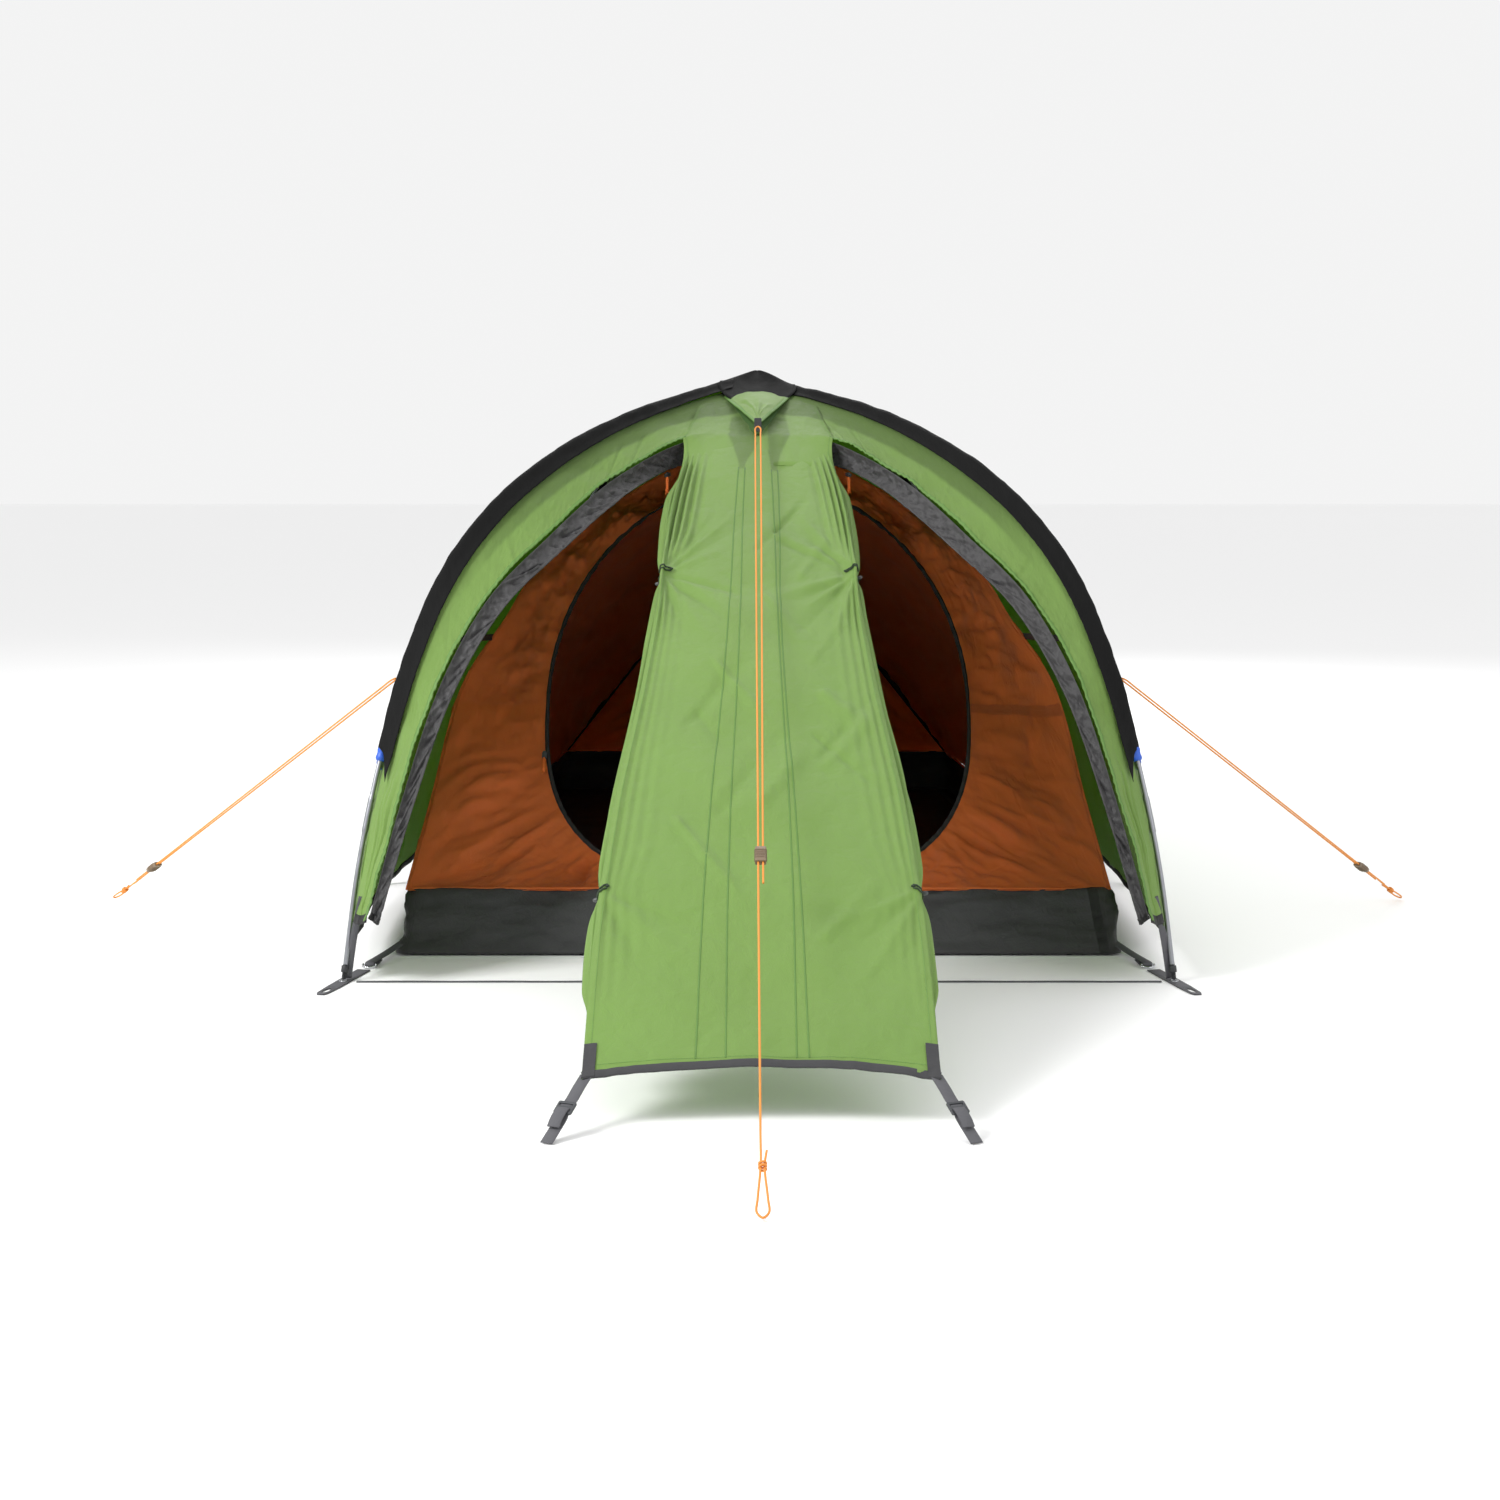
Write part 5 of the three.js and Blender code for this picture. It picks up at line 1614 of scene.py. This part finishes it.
normal = gridNormals(bucketGrid, True)
width = np.linalg.norm(np.roll(bucketGrid[:, -1], -1, 0) - bucketGrid[:, -1], axis=1).sum()
u, v = np.meshgrid(np.linspace(0, 1, len(bucketGrid)), np.linspace(0, 1, len(levels)), indexing="ij")
bucketGrid = bucketGrid + normal * bucketCrease(u, v, width, bucket["cut"], bucketGrid)[..., None]
bucketGrid[..., 2] = np.maximum(bucketGrid[..., 2], bucket["floorHeight"] - 0.0002)
verts, faces = shell(bucketGrid, gridNormals(bucketGrid, True), clothThick, True)
run = np.stack([u * width, v * bucket["cut"]], -1).reshape(-1, 2)
bucketWall = newPiece("bucketWall", verts, faces, finishes.floor, np.concatenate([run, run]))
settle(bucketWall, "groundsheet", "groundsheet")


def floorSurface(u, v):
    half = lerp(floorFrontHalf, floorRearHalf, v) - bucket["floorInset"]
    y = lerp(frontY + bucket["floorInset"], rearY - bucket["floorInset"], v)
    return stacked((2 * u - 1) * half, y, bucket["floorHeight"])


def floorCrease(u, v, width, length, grid):
    inside = np.minimum(1, np.minimum(np.minimum(u, 1 - u), np.minimum(v, 1 - v)) * 14)
    return inside * (0.0022 + roughen(grid, (8, 8, 1), 0.006, 3) * 0.5)


madeFloor = cloth("floorCloth", floorSurface, 80, 110, finishes.floor, floorCrease)
declareSheet(madeFloor, "laid", [], "groundsheet")
round(float(gridArea(bucketGrid, True)), 3)
rim = bucketOutline(bucket["rim"], -0.0012)
rim = np.concatenate([rim, np.full((len(rim), 1), bucket["rim"])], 1)
settle(tube("bucketSeam", rim, 0.0026, finishes.inner, 8, True), "inner_fabric")
stitchLines["dark"].append(np.concatenate([rim, rim[:1]]) + (0, 0, -0.009))
stitchLines["dark"][-1][:, :2] *= 1.0012

# Inner door, rolled along the sill inside
rolled = {
    "radius": 0.018, "folds": 6, "ties": (0.3, 0.7), "tieReach": 0.0145, "count": 150, "height": 0.0245,
    "spots": ((-0.25, 0.345), (-0.12, 0.352), (0, 0.356), (0.12, 0.352), (0.25, 0.345)),
}
path = through([place(x, back, rolled["height"]) for x, back in rolled["spots"]], rolled["count"])
share = np.linspace(0, 1, rolled["count"])
taper = 0.4 + 0.6 * np.sin(math.pi * np.clip(share, 0.02, 0.98)) ** 0.3
taper *= 1 - 0.3 * sum(bump(share, tie, 0.03) for tie in rolled["ties"])


def innerLobes(turn):
    return 0.16 * np.cos(rolled["folds"] * turn + 9 * share[:, None]) + 0.06 * np.cos(3 * turn)


innerRoll = rolledCloth("innerDoorRoll", path, (0, 0, 1), rolled["radius"], 40, taper, innerLobes,
                        finishes.inner)
settle(innerRoll, "inner_fabric", "inner_door_roll")
for tie in rolled["ties"]:
    spot = path[int(tie * (rolled["count"] - 1))]
    loop = ringAt(spot, (0, 1, 0), (0, 0, 1), rolled["tieReach"], rolled["tieReach"], 36)
    settle(tube(f"innerTie_{int(tie * 10)}", loop, 0.0016, finishes.elastic, 8, True), "webbing")
print("inner tent made")


# Zip sliders and their cord pulls, each on its own body

slider = {
    "rim": ((-0.0045, -0.005), (-0.0030, -0.0075), (0.0030, -0.0075), (0.0045, -0.005), (0.0045, 0.003),
            (0.0022, 0.0075), (-0.0022, 0.0075), (-0.0045, 0.003)),
    "plate": 0.0016, "pullCord": 0.00108, "pullGap": 0.0013, "pullKnot": (0.0024, 0.0018, 0.003),
}


def makeSlider(name, spot, way, normal, body):
    way, normal = unit(way), unit(normal)
    x = unit(np.cross(normal, way))
    normal = np.cross(way, x)
    plates = [cutPlate(f"{name}Plate{off}", [slider["rim"]], slider["plate"], 0.0004,
                       basis(x, way, normal, spot + normal * off), finishes.buckle)
              for off in (-slider["plate"], slider["plate"])]
    ends = [spot + way * 0.004 + normal * off for off in (-0.002, 0.002)]
    post = tube(f"{name}Post", ends, 0.0016, finishes.buckle, 12)
    bridge = spot + np.array([-way * 0.004 + normal * 0.002, -way * 0.003 + normal * 0.0038,
                              way * 0.003 + normal * 0.0038, way * 0.004 + normal * 0.002])
    arch = strap(f"{name}Arch", through(bridge, 14), 0.0026, 0.001, x, finishes.buckle)
    return settle(joined(f"slider_{name}", [*plates, post, arch]), "buckle", body, body=body)


def makePull(name, top, way, length, body):
    # a doubled cord with a knot
    way = unit(way)
    across = unit(np.cross(way, (0, 1, 0.3)))
    out = np.cross(way, across)
    gap, radius = slider["pullGap"], slider["pullCord"]
    steps = [(0.86, 0.0026), (0.8, gap), (0.4, gap), (0.08, gap), (0, 0), (0.08, -gap), (0.4, -gap),
             (0.8, -gap),
             (0.97, -0.0026)]
    route = smoothCurve([top + way * length * along + across * off for along, off in steps], 12)
    cord = tube(f"{name}Cord", route.dense, radius, finishes.pull, 10)
    coil = coilAt(top + way * length * 0.72, across, out, way, *slider["pullKnot"], 2.2, 60)
    knot = tube(f"{name}Knot", coil, radius, finishes.pull, 8)
    return settle(joined(f"pull_{name}", [cord, knot]), "guy_cord", body, body=body)


zipSpot = flapInner(np.array(0.02)) + (0, 0, -0.009)
zipWay = flapInner(np.array(0.1)) + (0, 0, -0.009) - zipSpot
zipFace = np.array([0.35, -0.55, 0.75])
for hand, side in sides.items():
    flip = np.array([side, 1, 1])
    spot = zipSpot * flip
    makeSlider(f"door_{hand}", spot, zipWay * flip, zipFace * flip, f"door_slider_{hand}")
    makePull(f"door_{hand}", spot + (0, -0.009, -0.005), (0, -0.5, -0.866), 0.038, f"door_pull_{hand}")
innerZip = np.array([-doorway["half"] - 0.001, innerFrontY(0.33) - 0.011, 0.33])
makeSlider("inner", innerZip, (0, wallLean, 1), (0, -1, wallLean), "inner_slider")
makePull("inner", innerZip + (0, -0.009, -0.004), (0, -wallLean, -1), 0.036, "inner_pull")

# Corner webbing, D-rings, peg loops and the strap across the front

webbing = {"ringHalf": 0.013, "ringTube": 0.0018, "ringHeight": 0.0052, "eye": 0.0054,
           "eyelet": (0.0062, 0.0010)}
straps = {  # width and thickness
    "corner": (0.017, 0.0016), "side": (0.018, 0.0018), "flyCorner": (0.012, 0.0014),
    "innerTie": (0.012, 0.0014),
    "ground": (0.0078, 0.0013), "porch": (0.0178, 0.0016),
}


def webStrap(name, path, kind, hint, *nodes, finish=finishes.webbing):
    settle(strap(name, path, *straps[kind], hint, finish), "webbing", *nodes)


def makeDRing(hand, side):
    spot = place(side * 0.673, 0.118, webbing["ringHeight"])
    corner = np.array([side * (floorFrontHalf + 0.003), frontY - 0.003, webbing["ringHeight"]])
    way = unit(spot - corner)
    across = np.array([-way[1], way[0], 0])
    dip = math.asin((webbing["ringHeight"] - webbing["ringTube"] - 0.0004) / webbing["ringHalf"])
    down = way * math.cos(dip) - np.array([0, 0, math.sin(dip)])
    turn = np.linspace(0, math.pi, 40)
    arc = spot + (np.outer(np.cos(turn), across) + np.outer(np.sin(turn), down)) * webbing["ringHalf"]
    bar = arc[-1] + (arc[0] - arc[-1]) * np.linspace(0, 1, 16)[1:-1, None]
    rounded = np.concatenate([arc, bar])
    for _ in range(2):
        rounded = rounded * 0.5 + (np.roll(rounded, 1, 0) + np.roll(rounded, -1, 0)) * 0.25
    ring = tube(f"dRing_{hand}", rounded, webbing["ringTube"], finishes.steel, 14, True)
    settle(ring, "alloy", f"d_ring_{hand}", body=f"d_ring_{hand}")
    # webbing from the floor's corner, round the ring's bar and back under itself
    turn = np.linspace(math.pi / 2, -math.pi / 2, 10)
    fold = spot + np.outer(np.cos(turn), way) * 0.0036 + np.outer(np.sin(turn), (0, 0, 1)) * 0.0034
    top = [corner - way * 0.030 + (-side * 0.014, 0.010, 0.016), corner + (0, 0, 0.006),
           lerp(corner, spot, 0.55) + (0, 0, 0.0042)]
    under = [lerp(corner, spot, share) + (0, 0, lift) for share, lift in ((0.8, -0.0022), (0.62, 0.0012))]
    path = through([*top, *fold, *under], 80)
    path[:, 2] = np.maximum(path[:, 2], 0.0012)
    webStrap(f"cornerStrap_{hand}", path, "corner", across, f"corner_strap_{hand}")


def pegLoop(name, start, foot, width, node, thick=0.0019, reach=0.102):
    # webbing on the ground with an eyelet for the pole's tip, and a loop end for a peg
    way = unit(foot - start)
    across = np.array([way[1], -way[0], 0])
    eye = np.linalg.norm(foot - start)
    length = eye + reach
    half, neck = width / 2, eye + reach * 0.42
    rim = [(-half, 0), (half, 0), (half, neck), (half * 0.8, length - 0.010), (half * 0.5, length),
           (-half * 0.5, length), (-half * 0.8, length - 0.010), (-half, neck)]
    holes = [circle(webbing["eye"], 26) + (0, eye),
             circle(1, 26) * (half * 0.42, 0.016) + (0, length - 0.028)]
    matrix = basis(across, way, (0, 0, 1), start + (0, 0, thick / 2 + 0.0001))
    settle(cutPlate(name, [rim, *holes], thick, 0.0004, matrix, finishes.webbing), "webbing", node)
    reachOut, radius = webbing["eyelet"]
    grommet = ringAt(foot + (0, 0, thick + 0.0003), (1, 0, 0), (0, 1, 0), reachOut, reachOut, 30)
    settle(tube(name + "Eyelet", grommet, radius, finishes.steel, 8, True), "alloy")


def makeSideStraps(hand, side):
    flip = np.array([side, 1, 1])
    # from the hem down to its peg
    fall = ((0.006, 0.048), (0.030, 0.024), (0.052, 0.006), (0.096, 0.0024))
    path = through([place(sideHemReach + out, 0.935, z) for out, z in fall], 40) * flip
    webStrap(f"sidePegStrap_{hand}", path, "side", (0, 1, 0), f"side_peg_strap_{hand}")
    # webbing that spans the gap from the fly's front corner to the pole's foot
    low = onCloth(madeBands[hand], 0.7 if side > 0 else 0.3, 0.97)
    middle = lerp(low, place(side * 0.696, 0.006, 0.02), 0.5) + (0, 0.004, 0)
    path = through([low, middle, place(side * 0.694, 0.012, 0.0045)], 30)
    webStrap(f"flyCornerStrap_{hand}", path, "flyCorner", (1, 0.3, 0))
    # a black strap ties the inner to the fly, behind the front pole
    u = 0.02 if side > 0 else 0.98
    inner, outer = onCloth(madeInner[hand], u, 0.42), onCloth(madeWalls[hand], u, 0.33)
    path = through([inner, lerp(inner, outer, 0.5) - (0, 0, 0.004), outer], 20)
    webStrap(f"innerTieStrap_{hand}", path, "innerTie", (0, 0.3, 1), finish=finishes.blackTape)
    for k, share in enumerate((0.60, 0.80)):
        knob = frontEdge(np.array(share)) + (0.006, -0.006, 0.004)
        ends = [(knob + step) * flip for step in ((0, 0, 0), (0.003, 0, 0.004), (0.006, 0, 0.014),
                                                  (0.007, 0, 0.018))]
        settle(tube(f"innerToggle_{hand}_{k}", ends, [0.002, 0.0045, 0.0045, 0.002], finishes.tip, 16),
               "buckle")


for hand, side in sides.items():
    makeDRing(hand, side)
    pegLoop(f"footStrap_{hand}", place(side * 0.68, 0.092, 0), place(side * footHalfFront, 0, 0), 0.024,
            f"foot_strap_{hand}")
    pegLoop(f"rearFootStrap_{hand}", np.array([side * (floorRearHalf + 0.001), rearY + 0.003, 0]),
            np.array([side * footHalfRear, footRearY, 0]), 0.022, f"rear_foot_strap_{hand}")
    makeSideStraps(hand, side)
groundPath = np.stack([np.linspace(-0.678, 0.678, 120), np.full(120, footFrontY), np.full(120, 0.0009)], -1)
groundPath[:, 2] += 0.0002 * np.sin(groundPath[:, 0] * 40)
webStrap("groundStrap", groundPath, "ground", (0, 1, 0), "ground_strap")

# Porch straps, through their ladder buckles to the front pegs
porchTie = {
    "corner": place(0.240, -0.884, 0.054), "peg": place(0.277, -0.968, 0.0016), "buckleShare": 0.42,
    "tail": ((0.002, 0.0060), (0.012, 0.0075), (0.026, 0.0068), (0.036, 0.004)), "buckleDepth": 0.0036,
    "patch": 0.036,
}


def makePorchStrap(hand, side):
    flip = np.array([side, 1, 1])
    corner, peg = porchTie["corner"] * flip, porchTie["peg"] * flip
    way = peg - corner
    length = np.linalg.norm(way)
    way = way / length
    across = unit(np.cross(way, (0, 0, 1)))
    up = np.cross(across, way)
    up = up if up[2] > 0 else -up
    at = length * porchTie["buckleShare"]
    steps = [(-0.022, -0.001), (0.03 * length, 0), (at - 0.016, 0.0), (at - 0.006, 0.0030), (at, 0.0042),
             (at + 0.006, 0.0030), (at + 0.014, -0.0004), (length * 0.8, -0.0005), (length, 0.0002)]
    path = through([corner + way * s + up * rise for s, rise in steps], 70)
    path[:, 2] = np.maximum(path[:, 2], 0.0012)
    webStrap(f"porchStrap_{hand}", path, "porch", across, f"porch_strap_{hand}")
    tail = through([corner + way * (at + s) + up * rise + across * 0.001 for s, rise in porchTie["tail"]], 24)
    webStrap(f"porchStrapTail_{hand}", tail, "porch", across)
    rim = roundedBox(0.013, 0.011, 0.0025)
    slots = [roundedBox(0.0098, 0.002, 0.0008) + (0, off) for off in (-0.005, 0.005)]
    third = np.cross(across, way)
    depth = porchTie["buckleDepth"]
    matrix = basis(across, way, third, corner + way * at + third * depth * np.sign(third[2]))
    buckle = cutPlate(f"porchBuckle_{hand}", [rim, *slots], depth, 0.0007, matrix, finishes.buckle)
    settle(buckle, "buckle", f"porch_buckle_{hand}")
    # a patch of webbing reinforces the panel's corner
    u = np.linspace(0, porchTie["patch"], 36)[:, None]
    v = np.linspace(0, porchTie["patch"], 30)[None, :]
    patch = gridCloth(f"porchPatch_{hand}", onCloth(porch, u if side < 0 else 1 - u, v, 0.0018),
                      finishes.binding,
                      thick=0.0016)
    settle(patch.piece, "webbing")


for hand, side in sides.items():
    makePorchStrap(hand, side)
print("hardware made")


# Stitches and zip teeth: one small rounded bar, repeated along a seam

seams = {
    "fly": {"pitch": 0.0036, "length": 0.0026, "radius": 0.00035, "finish": finishes.thread,
            "slot": "flysheet"},
    "dark": {"pitch": 0.0040, "length": 0.0028, "radius": 0.0004, "finish": finishes.darkThread,
             "slot": "webbing"},
    "teeth": {"pitch": 0.0022, "length": 0.0040, "radius": 0.0006, "finish": finishes.zipTeeth,
              "slot": "webbing"},
}


def makeSeamTree():
    tree = bpy.data.node_groups.new("alongSeam", "GeometryNodeTree")
    face = tree.interface
    face.new_socket("Line", in_out="INPUT", socket_type="NodeSocketGeometry")
    for label in ("Pitch", "Length", "Radius"):
        face.new_socket(label, in_out="INPUT", socket_type="NodeSocketFloat")
    face.new_socket("Finish", in_out="INPUT", socket_type="NodeSocketMaterial")
    face.new_socket("Stitches", in_out="OUTPUT", socket_type="NodeSocketGeometry")
    node = wire(tree)
    start = node("NodeGroupInput").outputs
    curve = node("GeometryNodeMeshToCurve", {0: start["Line"]})
    spots = node("GeometryNodeCurveToPoints", {"Curve": curve.outputs[0], "Length": start["Pitch"]},
                 mode="LENGTH")
    bar = node("GeometryNodeMeshCylinder", {"Vertices": 5, "Radius": start["Radius"],
                                            "Depth": start["Length"]})
    repeated = node("GeometryNodeInstanceOnPoints",
                    {"Points": spots.outputs["Points"], "Instance": bar.outputs["Mesh"],
                                                     "Rotation": spots.outputs["Rotation"]})
    solid = node("GeometryNodeRealizeInstances", {0: repeated.outputs[0]})
    painted = node("GeometryNodeSetMaterial", {0: solid.outputs[0], "Material": start["Finish"]})
    node("NodeGroupOutput", {0: painted.outputs[0]})
    return tree


seamTree = makeSeamTree()


def makeStitches(kind, lines):
    style = seams[kind]
    verts, edges, base = [], [], 0
    for line in lines:
        verts += line.tolist()
        edges += [(base + k, base + k + 1) for k in range(len(line) - 1)]
        base += len(line)
    mesh = bpy.data.meshes.new(kind + "Lines")
    mesh.from_pydata(verts, edges, [])
    carrier = linked(kind + "Lines", mesh)
    modifier = carrier.modifiers.new("alongSeam", "NODES")
    modifier.node_group = seamTree
    for socket in seamTree.interface.items_tree:
        if socket.in_out == "INPUT" and socket.name.lower() in style:
            modifier[socket.identifier] = style[socket.name.lower()]
    mesh = baked(carrier)
    mesh.name = kind + "Stitches"
    settle(linked(mesh.name, mesh), style["slot"])
    print("stitches", kind, len(mesh.polygons))


for kind, lines in stitchLines.items():
    makeStitches(kind, lines)
